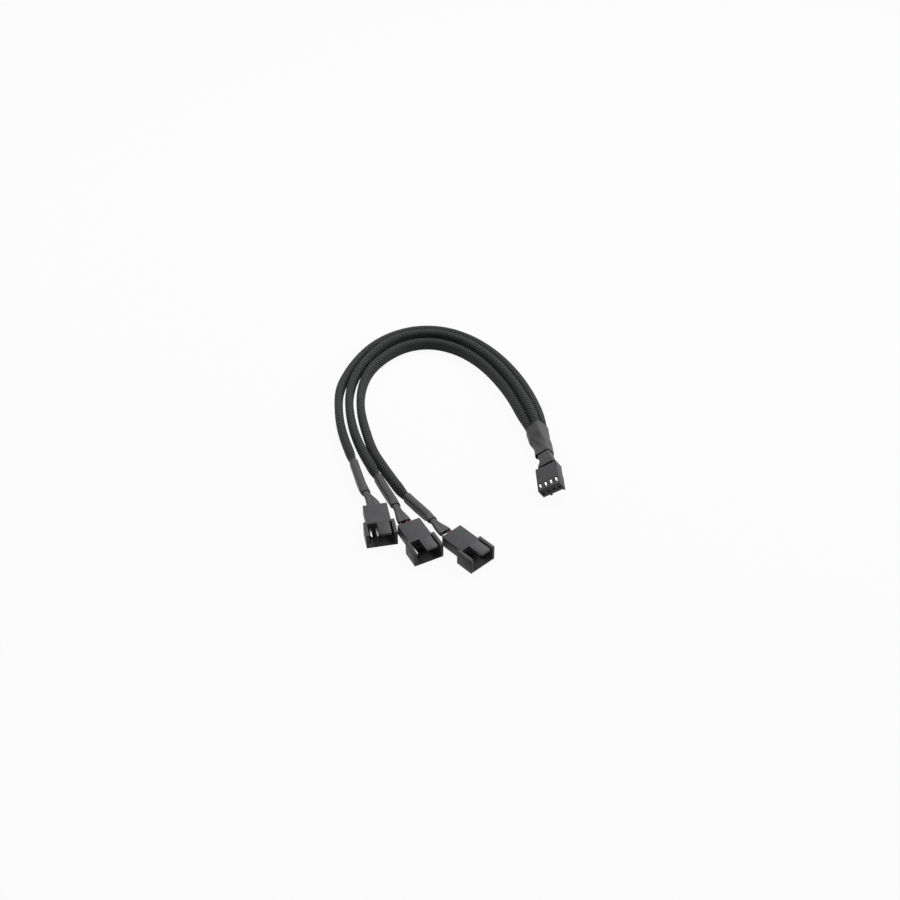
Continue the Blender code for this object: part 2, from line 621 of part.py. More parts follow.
def sleeve_start(lead):
    return MALE_WIRE_SEAT + BRANCH_SHRINK_START[lead] + BRANCH_SLEEVE_START


def branch_wires(lead, path):
    end = sleeve_start(lead) - BRAID_END_GAP
    distances = np.r_[0.0, stations(MALE_WIRE_SEAT, end, WIRE_STEP)]
    for slot, index in enumerate(MALE_CONTACTS[lead]):
        points = []
        for distance in distances:
            across, up = path.frame(distance)[1:]
            place = branch_places(lead, distance)[slot]
            points.append(path.point(distance) + place[0] * across + place[1] * up)
        contact = CONTACT_NAMES[index]
        look = RED_WIRE if contact == "supply" else BLACK_WIRE
        cord(f"wire_{lead}_{contact}", points, look, WIRE_DIAMETER, WIRE_SEGMENTS)


def squeeze(lead, path, distance):
    """Scale of a sleeve's section, which its shrink sleeves press together at both ends."""
    mouth = MALE_WIRE_SEAT + BRANCH_SHRINK_START[lead] + BRANCH_SHRINK_LENGTH[lead]
    far_mouth = path.length - TRUNK_SLEEVE_TUCK
    stops = (mouth, mouth + BRANCH_SQUEEZE_RUN, far_mouth - TRUNK_SQUEEZE_RUN, far_mouth)
    return eased(distance, stops, (SLEEVE_SQUEEZE, 1.0, 1.0, TRUNK_SQUEEZE))


def sleeve(lead, path):
    distances = stations(sleeve_start(lead), path.length, SLEEVE_STEP)
    points = [path.point(distance) for distance in distances]
    scales = [squeeze(lead, path, distance) for distance in distances]
    cord(f"sleeve_{lead}", points, BRAID, SLEEVE_WIDTH, SLEEVE_SEGMENTS, SLEEVE_STRAIGHT, scales)


def squeezed_sleeve_centres(scale, middle=(0.0, 0.0)):
    rise = SLEEVE_STRAIGHT * scale
    return [(middle[0], middle[1] - rise), (middle[0], middle[1] + rise)]


def branch_shrinks(lead, path):
    rear = MALE_WIRE_SEAT
    layer = SHRINK_GAP + SHRINK_WALL
    tail_reach = WIRE_DIAMETER / 2 + layer
    branch_start = rear + BRANCH_SHRINK_START[lead]
    tail = []
    for distance in stations(rear + TAIL_MOUTH[lead], branch_start + TAIL_TUCK, SKIN_STEP):
        across, up = path.frame(distance)[1:]
        tail.append(skin_ring(path.point(distance), across, up, branch_places(lead, distance), tail_reach))
    shrink_sleeve(f"tail_shrink_{lead}", tail)

    branch = []
    necking = sleeve_start(lead) - NECKING_RUN
    for distance in stations(branch_start, necking, SKIN_STEP):
        across, up = path.frame(distance)[1:]
        places = branch_places(lead, distance)
        branch.append(skin_ring(path.point(distance), across, up, places, tail_reach + layer))
    sleeve_reach = SLEEVE_SQUEEZE * SLEEVE_WIDTH / 2 + layer
    centres = squeezed_sleeve_centres(SLEEVE_SQUEEZE)
    branch_end = branch_start + BRANCH_SHRINK_LENGTH[lead]
    for distance in stations(sleeve_start(lead) - TOUCH_GAP, branch_end, SKIN_STEP):
        across, up = path.frame(distance)[1:]
        branch.append(skin_ring(path.point(distance), across, up, centres, sleeve_reach))
    shrink_sleeve(f"branch_shrink_{lead}", branch)


def trunk_path(holder):
    """Middle line of the female end, from the wires' seat in the housing to past the trunk shrink."""
    tilt = holder.rotation_euler.to_matrix()
    forward = np.array(tilt @ Vector((1.0, 0.0, 0.0)))
    rear = np.array(holder.location) - FEMALE_LENGTH / 2 * forward
    neck = rear - NECK_RUN * forward - np.array((0.0, 0.0, NECK_DROOP))
    end = np.array(TRUNK_END) * MM
    route = [rear + FEMALE_WIRE_SEAT * forward, rear, neck]
    for share, offset, height in TRUNK_BOW:
        x, y = neck[:2] + share * (end - neck)[:2]
        route.append((x + offset * MM, y, height * MM))
    return Path([*route, end])


def trunk_wire_place(distance, index, row):
    """Place across the trunk's line of one wire: columns by contact, rows by lead, turning into the leads."""
    rear = FEMALE_WIRE_SEAT
    mouth = rear + NECK_START
    stops = (rear, mouth, mouth + NECK_FLARE_RUN, rear + TRUNK_START, rear + TRUNK_SLEEVE_END)
    pitch = eased(distance, stops, (PITCH, NECK_MOUTH_PITCH, NECK_PITCH, TRUNK_PITCH, STACK_PITCH))
    spacing = eased(distance, stops, (ROW_PITCH, ROW_PITCH, ROW_PITCH, ROW_PITCH, TRUNK_SLEEVE_SPACING))
    lift = eased(distance, stops, (0.0, 0.0, 0.0, 0.0, TRUNK_MIDDLE_LIFT))
    turns = (FEMALE_ROLL, NECK_MOUTH_TURN, NECK_TURN, TRUNK_TURN, LEADS_TURN)
    turn = math.radians(eased(distance, stops, turns))
    column = (index - (CONTACTS - 1) / 2) * pitch
    step = row * spacing
    across = column * math.cos(turn) + step * math.sin(turn)
    up = column * math.sin(turn) - step * math.cos(turn) + (1 - abs(row)) * lift
    return across, up


def trunk_wires():
    end = FEMALE_WIRE_SEAT + TRUNK_SLEEVE_END - BRAID_END_GAP
    distances = np.r_[0.0, stations(FEMALE_WIRE_SEAT, end, WIRE_STEP)]
    for lead, indices in MALE_CONTACTS.items():
        for index in indices:
            points = []
            for distance in distances:
                across, up = TRUNK.frame(distance)[1:]
                place = trunk_wire_place(distance, index, LEAD_ROWS[lead] - 1)
                points.append(TRUNK.point(distance) + place[0] * across + place[1] * up)
            name = f"trunk_wire_{lead}_{CONTACT_NAMES[index]}"
            cord(name, points, BLACK_WIRE, WIRE_DIAMETER, WIRE_SEGMENTS)


def all_trunk_places(distance):
    places = []
    for lead, indices in MALE_CONTACTS.items():
        places += [trunk_wire_place(distance, index, LEAD_ROWS[lead] - 1) for index in indices]
    return places


def loose_places(distance, loose):
    """Places of the trunk's wires, and one more that holds the shrink sleeve off them on the left side."""
    places = all_trunk_places(distance)
    left = min(places)
    return [*places, (left[0] - loose, left[1])]


def trunk_shrinks(paths):
    rear = FEMALE_WIRE_SEAT
    layer = SHRINK_GAP + SHRINK_WALL
    neck_reach = WIRE_DIAMETER / 2 + layer
    loose_stops = (rear + NECK_START + NECK_FLARE_RUN, rear + TRUNK_START)
    neck = []
    for distance in stations(rear + NECK_START, rear + TRUNK_START + NECK_TUCK, SKIN_STEP):
        across, up = TRUNK.frame(distance)[1:]
        loose = eased(distance, loose_stops, (0.0, NECK_LOOSE_SIDE))
        neck.append(skin_ring(TRUNK.point(distance), across, up, loose_places(distance, loose), neck_reach))
    shrink_sleeve("neck_shrink", neck)

    trunk = []
    sleeve_end = rear + TRUNK_SLEEVE_END
    for distance in stations(rear + TRUNK_START, sleeve_end - NECKING_RUN, SKIN_STEP):
        across, up = TRUNK.frame(distance)[1:]
        places = loose_places(distance, TRUNK_LOOSE_SIDE)
        trunk.append(skin_ring(TRUNK.point(distance), across, up, places, neck_reach + layer))
    sleeve_reach = TRUNK_SQUEEZE * SLEEVE_WIDTH / 2 + layer
    for distance in stations(sleeve_end - TOUCH_GAP, rear + TRUNK_START + TRUNK_LENGTH, SKIN_STEP):
        origin = TRUNK.point(distance)
        along, across, up = TRUNK.frame(distance)
        centres = []
        for path in paths.values():
            offset = path.crossing(origin, along) - origin
            centres += squeezed_sleeve_centres(TRUNK_SQUEEZE, (float(offset @ across), float(offset @ up)))
        trunk.append(skin_ring(origin, across, up, centres, sleeve_reach))
    shrink_sleeve("trunk_shrink", trunk)


clear_scene()
PARTS = collection("fan_splitter_cable")
CUTTERS = collection("cutters")

female = female_frame()
female_housing(female)
for contact_index in range(CONTACTS):
    female_terminal(contact_index, female)
TRUNK = trunk_path(female)
trunk_wires()

lead_paths = {}
for lead_name in MALE_CONTACTS:
    frame = male_frame(lead_name)
    male_housing(lead_name, frame)
    for contact_index in MALE_CONTACTS[lead_name]:
        male_pin(lead_name, contact_index, frame)
    lead_path = branch_path(lead_name, frame)
    lead_paths[lead_name] = lead_path
    branch_wires(lead_name, lead_path)
    sleeve(lead_name, lead_path)
    branch_shrinks(lead_name, lead_path)
trunk_shrinks(lead_paths)
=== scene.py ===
# %% [markdown]
# # A fan splitter cable
# One small female plug takes a fan header's four pins, and three braided leads carry them on to three
# shrouded male plugs. This script dresses the solid model of that cable: the plastic and the contacts keep
# its shapes, and the soft pieces are made again with a finer surface. Everything is in metres, with +Z up
# and the table at zero.

# %% Load the solid model
import json
import math
from functools import partial

import bpy
import numpy as np
from mathutils import Euler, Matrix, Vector, noise


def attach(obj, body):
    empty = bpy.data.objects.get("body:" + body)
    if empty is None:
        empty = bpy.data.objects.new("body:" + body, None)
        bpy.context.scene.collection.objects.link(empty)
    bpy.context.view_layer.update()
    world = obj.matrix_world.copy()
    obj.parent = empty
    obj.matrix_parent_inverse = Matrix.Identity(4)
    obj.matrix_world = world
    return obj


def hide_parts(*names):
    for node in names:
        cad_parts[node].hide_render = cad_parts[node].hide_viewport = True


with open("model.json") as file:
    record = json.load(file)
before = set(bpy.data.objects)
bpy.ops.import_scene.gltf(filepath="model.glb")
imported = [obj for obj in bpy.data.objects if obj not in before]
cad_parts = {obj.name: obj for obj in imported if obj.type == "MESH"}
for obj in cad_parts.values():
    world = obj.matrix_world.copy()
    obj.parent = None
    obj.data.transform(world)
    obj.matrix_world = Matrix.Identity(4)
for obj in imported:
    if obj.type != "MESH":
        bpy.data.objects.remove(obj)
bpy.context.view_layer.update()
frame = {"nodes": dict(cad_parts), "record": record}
MM = 0.001
print("solid model:", len(frame["nodes"]), "pieces")

# %% [markdown]
# ## The camera
# The photograph looks down at the cable from about forty degrees, from far enough away that the plugs at
# the front hardly grow. The camera stands on a sloping line through the middle of the cable, and its lens
# is chosen so that the cable takes up the same share of a square picture.

# %% Camera
CAMERA_AIM = Vector((10.13, 65.33, 0.0)) * MM
CAMERA_DISTANCE = 600 * MM
CAMERA_ELEVATION = math.radians(39.9)
SENSOR = 36.0
HALF_VIEW = 0.32637

camera_data = bpy.data.cameras.new("camera")
camera_data.sensor_width = SENSOR
camera_data.lens = SENSOR / 2 / HALF_VIEW
camera = bpy.data.objects.new("camera", camera_data)
bpy.context.scene.collection.objects.link(camera)
camera_offset = Vector((0.0, -math.cos(CAMERA_ELEVATION), math.sin(CAMERA_ELEVATION))) * CAMERA_DISTANCE
camera.location = CAMERA_AIM + camera_offset
camera.rotation_euler = (math.pi / 2 - CAMERA_ELEVATION, 0.0, 0.0)
bpy.context.scene.camera = camera
print("lens", round(camera_data.lens, 2), "mm")

# %% [markdown]
# ## Smooth lines
# A cable has no corners. A route is written down as a few points, and a natural cubic passes through them
# with the least bending, as a springy strip held by pins would. The line is then read by the distance along
# it, and at each distance it gives three directions: along the line, level across it, and up from it.

# %% Lines
POINTS_PER_KNOT = 40
NEAR = 0.5 * MM
CLOSENESS_WEIGHT = 0.1


def natural_cubic(at, values, wanted):
    """Smoothest line through the values, each held at its place in at."""
    gaps = np.diff(at)
    slopes = np.diff(values, axis=0) / gaps[:, None]
    system = np.eye(len(at))
    right = np.zeros_like(values)
    for i in range(1, len(at) - 1):
        system[i, i - 1 : i + 2] = gaps[i - 1], 2 * (gaps[i - 1] + gaps[i]), gaps[i]
        right[i] = 6 * (slopes[i] - slopes[i - 1])
    bend = np.linalg.solve(system, right)
    i = np.clip(np.searchsorted(at, wanted) - 1, 0, len(at) - 2)
    gap = gaps[i][:, None]
    after = (wanted - at[i])[:, None]
    before = gap - after
    straight = values[i] * before / gap + values[i + 1] * after / gap
    bent_before = bend[i] * (before**3 / gap - gap * before)
    bent_after = bend[i + 1] * (after**3 / gap - gap * after)
    return straight + (bent_before + bent_after) / 6


def unit(vectors):
    return vectors / np.linalg.norm(vectors, axis=-1, keepdims=True)


class Line:
    """A smooth line through a route, read by the distance along it."""

    def __init__(self, route):
        knots = np.array(route, float)
        chord = np.r_[0, np.cumsum(np.linalg.norm(np.diff(knots, axis=0), axis=1))]
        wanted = np.linspace(0, chord[-1], POINTS_PER_KNOT * len(knots))
        self.points = natural_cubic(chord, knots, wanted)
        self.run = np.r_[0, np.cumsum(np.linalg.norm(np.diff(self.points, axis=0), axis=1))]
        self.length = self.run[-1]

    def point(self, distance):
        return np.stack([np.interp(distance, self.run, self.points[:, axis]) for axis in range(3)], axis=-1)

    def frame(self, distance):
        along = unit(self.point(distance + NEAR) - self.point(distance - NEAR))
        across = unit(np.cross(along, (0.0, 0.0, 1.0)))
        return along, across, np.cross(across, along)

    def crossing(self, origin, along):
        """Point of the line that lies in the plane through origin, nearest to origin."""
        offsets = self.points - origin
        cost = np.abs(offsets @ along) + CLOSENESS_WEIGHT * np.linalg.norm(offsets, axis=1)
        return self.points[np.argmin(cost)]


def eased(distance, stops, values):
    """Value at a distance, moving gently from each stop's value to the next."""
    place = np.interp(distance, stops, range(len(stops)))
    share = place % 1.0
    return np.interp(place - share + share * share * (3 - 2 * share), range(len(stops)), values)


def stations(start, end, step):
    return np.linspace(start, end, max(2, round((end - start) / step) + 1))


# %% [markdown]
# ## Where the leads run
# The trunk line starts at the wires' seat in the female plug and passes the middle of the bundle. Each
# lead's line starts at the seat of the wires in its male plug, sweeps round the arch on the table, and ends
# inside the trunk tubing beside the other two. The middle lead lies a little higher there, so that the
# three make a bundle.

# %% Routes in millimetres
# Place of each male plug on the table, and the heading of its mating end in degrees
MALE_SPOTS = {"a": (-17.8, 9.0, -78.4), "b": (0.0, 0.0, -62.3), "c": (20.3, -3.3, -47.0)}
MALE_REAR = 14.25 * MM
MALE_WIRE_SEAT = 2.3 * MM
PIN_HEIGHT = 3.4 * MM
FEMALE_PLACE = Vector((51.9, 39.6, 5.66882)) * MM
FEMALE_TURN = Euler([math.radians(angle) for angle in (33.0, 9.2, -86.5)], "XYZ").to_matrix()
FEMALE_HALF_LENGTH = 6.05 * MM
FEMALE_WIRE_SEAT = 2.7 * MM
TAIL_MOUTH = {"a": 2.2 * MM, "b": 3.6 * MM, "c": 3.4 * MM}
TRUNK_START = 9.3 * MM
TRUNK_LENGTH = 19.7 * MM
TRUNK_SLEEVE_END = 24.0 * MM
TRUNK_SLEEVE_SPACING = 2.6 * MM
TRUNK_MIDDLE_LIFT = 3.3 * MM
LEAD_ROWS = {"c": 0, "b": 1, "a": 2}

LEAD_ROUTES = {
    "a": (
        (-24.9, 33.5, 3.4), (-28.0, 42.5, 3.2), (-31.4, 54.4, 3.2), (-35.2, 66.8, 3.0), (-38.2, 79.2, 3.0),
        (-39.8, 92.0, 3.0), (-39.9, 103.0, 3.0), (-37.6, 114.0, 3.0), (-33.1, 125.8, 3.0),
        (-26.6, 136.8, 3.0), (-17.6, 145.4, 3.0), (-5.6, 150.4, 3.0), (7.0, 149.7, 3.0), (19.1, 143.4, 3.0),
        (29.9, 132.4, 3.0), (38.9, 117.9, 3.0), (45.7, 101.4, 3.0), (49.4, 87.4, 3.1), (50.9, 78.0, 3.3),
    ),
    "b": (
        (-12.2, 25.2, 3.4), (-16.2, 34.1, 3.2), (-22.0, 47.3, 3.2), (-27.0, 59.2, 3.0), (-31.2, 71.5, 3.0),
        (-34.2, 85.6, 3.0), (-35.3, 98.0, 3.1), (-34.6, 107.5, 3.4), (-32.2, 116.8, 3.8), (-27.5, 127.0, 4.1),
        (-20.8, 136.8, 4.3), (-10.2, 143.9, 4.5), (1.5, 145.4, 4.7), (13.3, 141.2, 4.8), (23.7, 132.0, 5.0),
        (32.6, 119.3, 5.2), (39.6, 104.7, 5.3), (44.1, 91.6, 5.8), (47.1, 79.5, 6.6),
    ),
    "c": (
        (3.1, 16.4, 3.4), (-1.0, 22.0, 3.2), (-8.2, 31.6, 3.1), (-13.2, 40.1, 3.0), (-17.3, 48.1, 3.0),
        (-22.2, 58.6, 3.0), (-26.2, 72.0, 3.0), (-29.2, 86.0, 3.0), (-30.2, 98.0, 3.0), (-29.4, 109.0, 3.0),
        (-26.0, 120.5, 3.0), (-19.6, 130.3, 3.0), (-11.4, 137.4, 3.0), (-1.4, 140.4, 3.0), (8.5, 138.3, 3.0),
        (18.0, 131.9, 3.0), (26.5, 121.8, 3.0), (33.9, 108.3, 3.0), (38.5, 97.0, 3.0), (41.9, 86.1, 3.1),
        (44.7, 77.2, 3.3),
    ),
}
NECK_RUN = 3.7 * MM
NECK_DROOP = 0.43 * MM
TRUNK_END = (47.1, 81.0, 3.2)

# Share of the way from the neck to the end, offset to the right and height, both in millimetres
TRUNK_BOW = ((0.245, 0.8, 5.2), (0.45, 0.76, 3.9), (0.597, 0.31, 3.3), (0.792, 0.13, 3.3))


def trunk_line():
    forward = np.array(FEMALE_TURN @ Vector((1.0, 0.0, 0.0)))
    rear = np.array(FEMALE_PLACE) - FEMALE_HALF_LENGTH * forward
    neck = rear - NECK_RUN * forward - np.array((0.0, 0.0, NECK_DROOP))
    end = np.array(TRUNK_END) * MM
    route = [rear + FEMALE_WIRE_SEAT * forward, rear, neck]
    for share, offset, height in TRUNK_BOW:
        x, y = neck[:2] + share * (end - neck)[:2]
        route.append((x + offset * MM, y, height * MM))
    return Line([*route, end])


def lead_line(lead):
    x, y, heading = MALE_SPOTS[lead]
    forward = np.array((math.cos(math.radians(heading)), math.sin(math.radians(heading)), 0.0))
    rear = np.array((x * MM, y * MM, PIN_HEIGHT)) - MALE_REAR * forward
    start = [rear + MALE_WIRE_SEAT * forward, rear, rear - TAIL_MOUTH[lead] * forward]
    row = LEAD_ROWS[lead] - 1
    origin = TRUNK.point(FEMALE_WIRE_SEAT + TRUNK_SLEEVE_END)
    across, up = TRUNK.frame(FEMALE_WIRE_SEAT + TRUNK_SLEEVE_END)[1:]
    end = origin + row * TRUNK_SLEEVE_SPACING * across + (1 - abs(row)) * TRUNK_MIDDLE_LIFT * up
    return Line([*start, *(np.array(LEAD_ROUTES[lead]) * MM), end])


TRUNK = trunk_line()
LEADS = {lead: lead_line(lead) for lead in MALE_SPOTS}
for lead, line in LEADS.items():
    print("lead", lead, "runs", round(line.length / MM, 1), "mm from seat to trunk")

# %% [markdown]
# ## A strip rolled into a tube
# Braid and shrink tubing are both thin walls round something. The easy way to such a wall is a flat grid: one
# side of it runs round the tube and the other along it. Every point of the grid is moved to its place on the
# tube, the two long edges that meet are merged, and the grid's own flat map stays as the map for the weave.

# %% Rolled strip
MERGE = 1e-6
GRID_SIDE = 1.0


def deselect():
    if bpy.context.object and bpy.context.object.mode != "OBJECT":
        bpy.ops.object.mode_set(mode="OBJECT")
    bpy.ops.object.select_all(action="DESELECT")


def select_only(piece):
    deselect()
    piece.select_set(True)
    bpy.context.view_layer.objects.active = piece


def edit_all(*steps):
    """Runs edit-mode steps on the active piece with everything in it selected."""
    bpy.ops.object.mode_set(mode="EDIT")
    bpy.ops.mesh.select_all(action="SELECT")
    for step in steps:
        step()
    bpy.ops.object.mode_set(mode="OBJECT")


def apply_all(piece):
    select_only(piece)
    for modifier in list(piece.modifiers):
        bpy.ops.object.modifier_apply(modifier=modifier.name)


def rolled_strip(name, around, along, place, flat_size):
    """Tube of around x along squares. place(turn, share) gives the points, flat_size the map's size."""
    deselect()
    bpy.ops.mesh.primitive_grid_add(x_subdivisions=around, y_subdivisions=along, size=GRID_SIDE)
    piece = bpy.context.object
    piece.name = name
    mesh = piece.data
    mesh.name = name
    flat = np.empty(len(mesh.vertices) * 3)
    mesh.vertices.foreach_get("co", flat)
    flat = flat.reshape(-1, 3)[:, :2] + GRID_SIDE / 2
    mesh.vertices.foreach_set("co", place(flat[:, 0], flat[:, 1]).ravel())
    layer = mesh.uv_layers[0]
    layer.name = "flat"
    uv = np.empty(len(mesh.loops) * 2)
    layer.data.foreach_get("uv", uv)
    layer.data.foreach_set("uv", (uv.reshape(-1, 2) * flat_size).ravel())
    edit_all(lambda: bpy.ops.mesh.remove_doubles(threshold=MERGE), bpy.ops.mesh.flip_normals)
    bpy.ops.object.shade_smooth()
    return piece


def close_ends():
    """Closes both ends of the active tube with a flat face."""
    edit_all(
        lambda: bpy.ops.mesh.fill_holes(sides=0),
        lambda: bpy.ops.mesh.normals_make_consistent(inside=False),
    )


# %% [markdown]
# ## Shader nodes in few words
# Each material is a small net of nodes. A helper adds one node, sets its settings and fills its sockets, and
# a socket given another node's output is linked to it. An effect that several materials use is a node group.

# %% Node helpers
# Places of a Mix node's two inputs and its output, for colours and for plain values
COLOUR_SOCKETS = (6, 7, 2)
VALUE_SOCKETS = (2, 3, 0)


def add_node(tree, kind, sockets=None, **settings):
    made = tree.nodes.new(kind)
    for key, value in settings.items():
        setattr(made, key, value)
    for key, value in (sockets or {}).items():
        if isinstance(value, bpy.types.NodeSocket):
            tree.links.new(value, made.inputs[key])
        else:
            made.inputs[key].default_value = value
    return made


def add_group(tree, group, sockets):
    return add_node(tree, "ShaderNodeGroup", sockets, node_tree=group).outputs


def maths(tree, operation, first, second=0.0, clamp=False):
    sockets = {0: first, 1: second}
    return add_node(tree, "ShaderNodeMath", sockets, operation=operation, use_clamp=clamp).outputs[0]


def scaled(tree, value, factor, added):
    """A value times a factor, plus something."""
    sockets = {0: value, 1: factor, 2: added}
    return add_node(tree, "ShaderNodeMath", sockets, operation="MULTIPLY_ADD").outputs[0]


def noise_at(tree, place, scale, detail):
    sockets = {"Vector": place, "Scale": scale, "Detail": detail}
    return add_node(tree, "ShaderNodeTexNoise", sockets).outputs[0]


def blend(tree, share, low, high):
    """Mix of two colours or values."""
    colour = isinstance(low, tuple)
    first, second, result = COLOUR_SOCKETS if colour else VALUE_SOCKETS
    sockets = {0: share, first: low, second: high}
    kind = "RGBA" if colour else "FLOAT"
    return add_node(tree, "ShaderNodeMix", sockets, data_type=kind).outputs[result]


def new_group(name, ins, outs):
    """Empty node group, with the sockets that lead into its net and out of it."""
    group = bpy.data.node_groups.new(name, "ShaderNodeTree")
    for direction, sockets in (("INPUT", ins), ("OUTPUT", outs)):
        for label, kind in sockets.items():
            group.interface.new_socket(name=label, in_out=direction, socket_type=kind)
    start = group.nodes.new("NodeGroupInput")
    end = group.nodes.new("NodeGroupOutput")
    return group, start.outputs, end.inputs


def new_material(name, roughness, metallic=0.0, specular=0.5):
    made = bpy.data.materials.new(name)
    made.use_nodes = True
    shader = made.node_tree.nodes["Principled BSDF"]
    shader.inputs["Roughness"].default_value = roughness
    shader.inputs["Metallic"].default_value = metallic
    shader.inputs["Specular IOR Level"].default_value = specular
    return made, made.node_tree, shader


def add_bump(tree, shader, height, strength, distance):
    """Fine relief that only the light sees."""
    sockets = {"Height": height, "Strength": strength, "Distance": distance}
    tree.links.new(add_node(tree, "ShaderNodeBump", sockets).outputs[0], shader.inputs["Normal"])


def give_material(piece, material):
    piece.data.materials.clear()
    piece.data.materials.append(material)


# %% [markdown]
# ## The weave of the braid
# The leads wear an expandable braid: flat yarns of a few stiff threads that cross under and over. On the flat
# map one square is one crossing, counted so that the yarns run along its diagonals. Which yarn lies on top
# changes like the squares of a chessboard. A yarn is highest along its middle and dips where it goes under.
# The same sum is used twice, once to raise the mesh and once, with the single threads added, in the material.

# %% Weave
CELLS_AROUND = 9
CELL_LENGTH = 1.45 * MM
YARN_ROUNDING = 0.9
YARN_DIP = 0.6
WEAVE_HIGH = 0.1 * MM
WEAVE_DEPTH = 0.28 * MM
THREADS_PER_YARN = 4.0


def weave_height(cells_round, cells_along):
    """Height of the woven surface, from 0 in the gaps to 1 on the crowns."""
    p = cells_round + cells_along
    q = cells_round - cells_along
    first_on_top = np.mod(np.floor(p) + np.floor(q), 2.0) < 0.5
    fp, fq = np.mod(p, 1.0) * 2 - 1, np.mod(q, 1.0) * 2 - 1
    side = np.where(first_on_top, fq, fp)
    end = np.where(first_on_top, fp, fq)
    return np.sqrt(np.maximum(0.0, 1 - YARN_ROUNDING * side**2)) * (1 - YARN_DIP * end**2)


weave, weave_in, weave_out = new_group(
    "braid weave",
    {"Cells": "NodeSocketVector"},
    {"Height": "NodeSocketFloat", "Thread": "NodeSocketFloat"},
)
cells = add_node(weave, "ShaderNodeSeparateXYZ", {0: weave_in["Cells"]}).outputs
sum_p = maths(weave, "ADD", cells[0], cells[1])
sum_q = maths(weave, "SUBTRACT", cells[0], cells[1])
parity = maths(weave, "ADD", maths(weave, "FLOOR", sum_p), maths(weave, "FLOOR", sum_q))
second_on_top = maths(weave, "GREATER_THAN", maths(weave, "FLOORED_MODULO", parity, 2.0), 0.5)
part_p = scaled(weave, maths(weave, "FRACT", sum_p), 2.0, -1.0)
part_q = scaled(weave, maths(weave, "FRACT", sum_q), 2.0, -1.0)
side = blend(weave, second_on_top, part_q, part_p)
end = blend(weave, second_on_top, part_p, part_q)
rounding = scaled(weave, maths(weave, "MULTIPLY", side, side), -YARN_ROUNDING, 1.0)
crown = maths(weave, "SQRT", maths(weave, "MAXIMUM", rounding, 0.0))
dip = scaled(weave, maths(weave, "MULTIPLY", end, end), -YARN_DIP, 1.0)
wave = maths(weave, "SINE", maths(weave, "MULTIPLY", side, math.pi * THREADS_PER_YARN))
weave.links.new(maths(weave, "MULTIPLY", crown, dip), weave_out["Height"])
weave.links.new(scaled(weave, wave, 0.5, 0.5), weave_out["Thread"])
print("weave:", CELLS_AROUND, "crossings round,", len(weave.nodes), "nodes")

# %% [markdown]
# ## Braided leads
# A lead is a flat cord that stands on its narrow edge, because its wires lie in a row inside the braid. Its
# section is a stadium: two half circles joined by straight sides. The shrink tubing presses it together at
# both ends, so the section is scaled down there. Each lead replaces its plain solid, which is hidden.

# %% Leads
SLEEVE_WIDTH = 3.6 * MM
SLEEVE_HEIGHT = 5.8 * MM
SLEEVE_STRAIGHT = (SLEEVE_HEIGHT - SLEEVE_WIDTH) / 2
SLEEVE_SQUEEZE = 0.72
TRUNK_SQUEEZE = 0.84
BRANCH_SQUEEZE_RUN = 7.0 * MM
TRUNK_SQUEEZE_RUN = 14.0 * MM
TRUNK_SLEEVE_TUCK = 5.0 * MM
BRANCH_SHRINK_START = {"a": 11.3 * MM, "b": 13.8 * MM, "c": 11.9 * MM}
BRANCH_SHRINK_LENGTH = {"a": 20.5 * MM, "b": 19.5 * MM, "c": 18.0 * MM}
BRANCH_SLEEVE_START = 4.5 * MM
SAMPLES_AROUND = 8
SAMPLES_ALONG = 6
PATH_STEP = 1.0 * MM


def stadium(turn):
    """Points and outward directions of the section, by the share of the way round it."""
    radius = SLEEVE_WIDTH / 2
    arc, flat = math.pi * radius, 2 * SLEEVE_STRAIGHT
    way = np.mod(turn, 1.0) * 2 * (arc + flat)
    half = way >= arc + flat
    way = np.where(half, way - arc - flat, way)
    angle = np.minimum(way, arc) / radius
    down = np.maximum(way - arc, 0.0)
    normal = np.stack([np.cos(angle), np.sin(angle)], axis=-1)
    point = radius * normal + np.stack([0 * angle, SLEEVE_STRAIGHT - down], axis=-1)
    sign = np.where(half, -1.0, 1.0)[:, None]
    return point * sign, normal * sign


def sleeve_start(lead):
    return MALE_WIRE_SEAT + BRANCH_SHRINK_START[lead] + BRANCH_SLEEVE_START


def squeeze(lead, distance):
    """Scale of a lead's section, which the shrink tubing presses together at both ends."""
    mouth = MALE_WIRE_SEAT + BRANCH_SHRINK_START[lead] + BRANCH_SHRINK_LENGTH[lead]
    far_mouth = LEADS[lead].length - TRUNK_SLEEVE_TUCK
    stops = (mouth, mouth + BRANCH_SQUEEZE_RUN, far_mouth - TRUNK_SQUEEZE_RUN, far_mouth)
    return eased(distance, stops, (SLEEVE_SQUEEZE, 1.0, 1.0, TRUNK_SQUEEZE))


def braided_lead(lead):
    line, start = LEADS[lead], sleeve_start(lead)
    long = line.length - start
    cells_along = round(long / CELL_LENGTH)

    def place(turn, share):
        distance = start + share * long
        scale = squeeze(lead, distance)[:, None]
        section, normal = stadium(turn)
        rise = weave_height(turn * CELLS_AROUND, share * cells_along) * WEAVE_DEPTH + WEAVE_HIGH - WEAVE_DEPTH
        section = section * scale + normal * rise[:, None]
        across, up = line.frame(distance)[1:]
        return line.point(distance) + section[:, :1] * across + section[:, 1:] * up

    around, along = CELLS_AROUND * SAMPLES_AROUND, cells_along * SAMPLES_ALONG
    piece = rolled_strip(f"braided_lead_{lead}", around, along, place, (CELLS_AROUND, cells_along))
    close_ends()
    path = [tuple(point) for point in line.point(stations(start, line.length, PATH_STEP))]
    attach(piece, "root")
    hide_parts(f"sleeve_{lead}")
    faces = len(piece.data.polygons)
    print(piece.name, round(long / MM, 1), "mm long,", cells_along, "crossings,", faces, "faces")
    return piece


braided = [braided_lead(lead) for lead in LEADS]
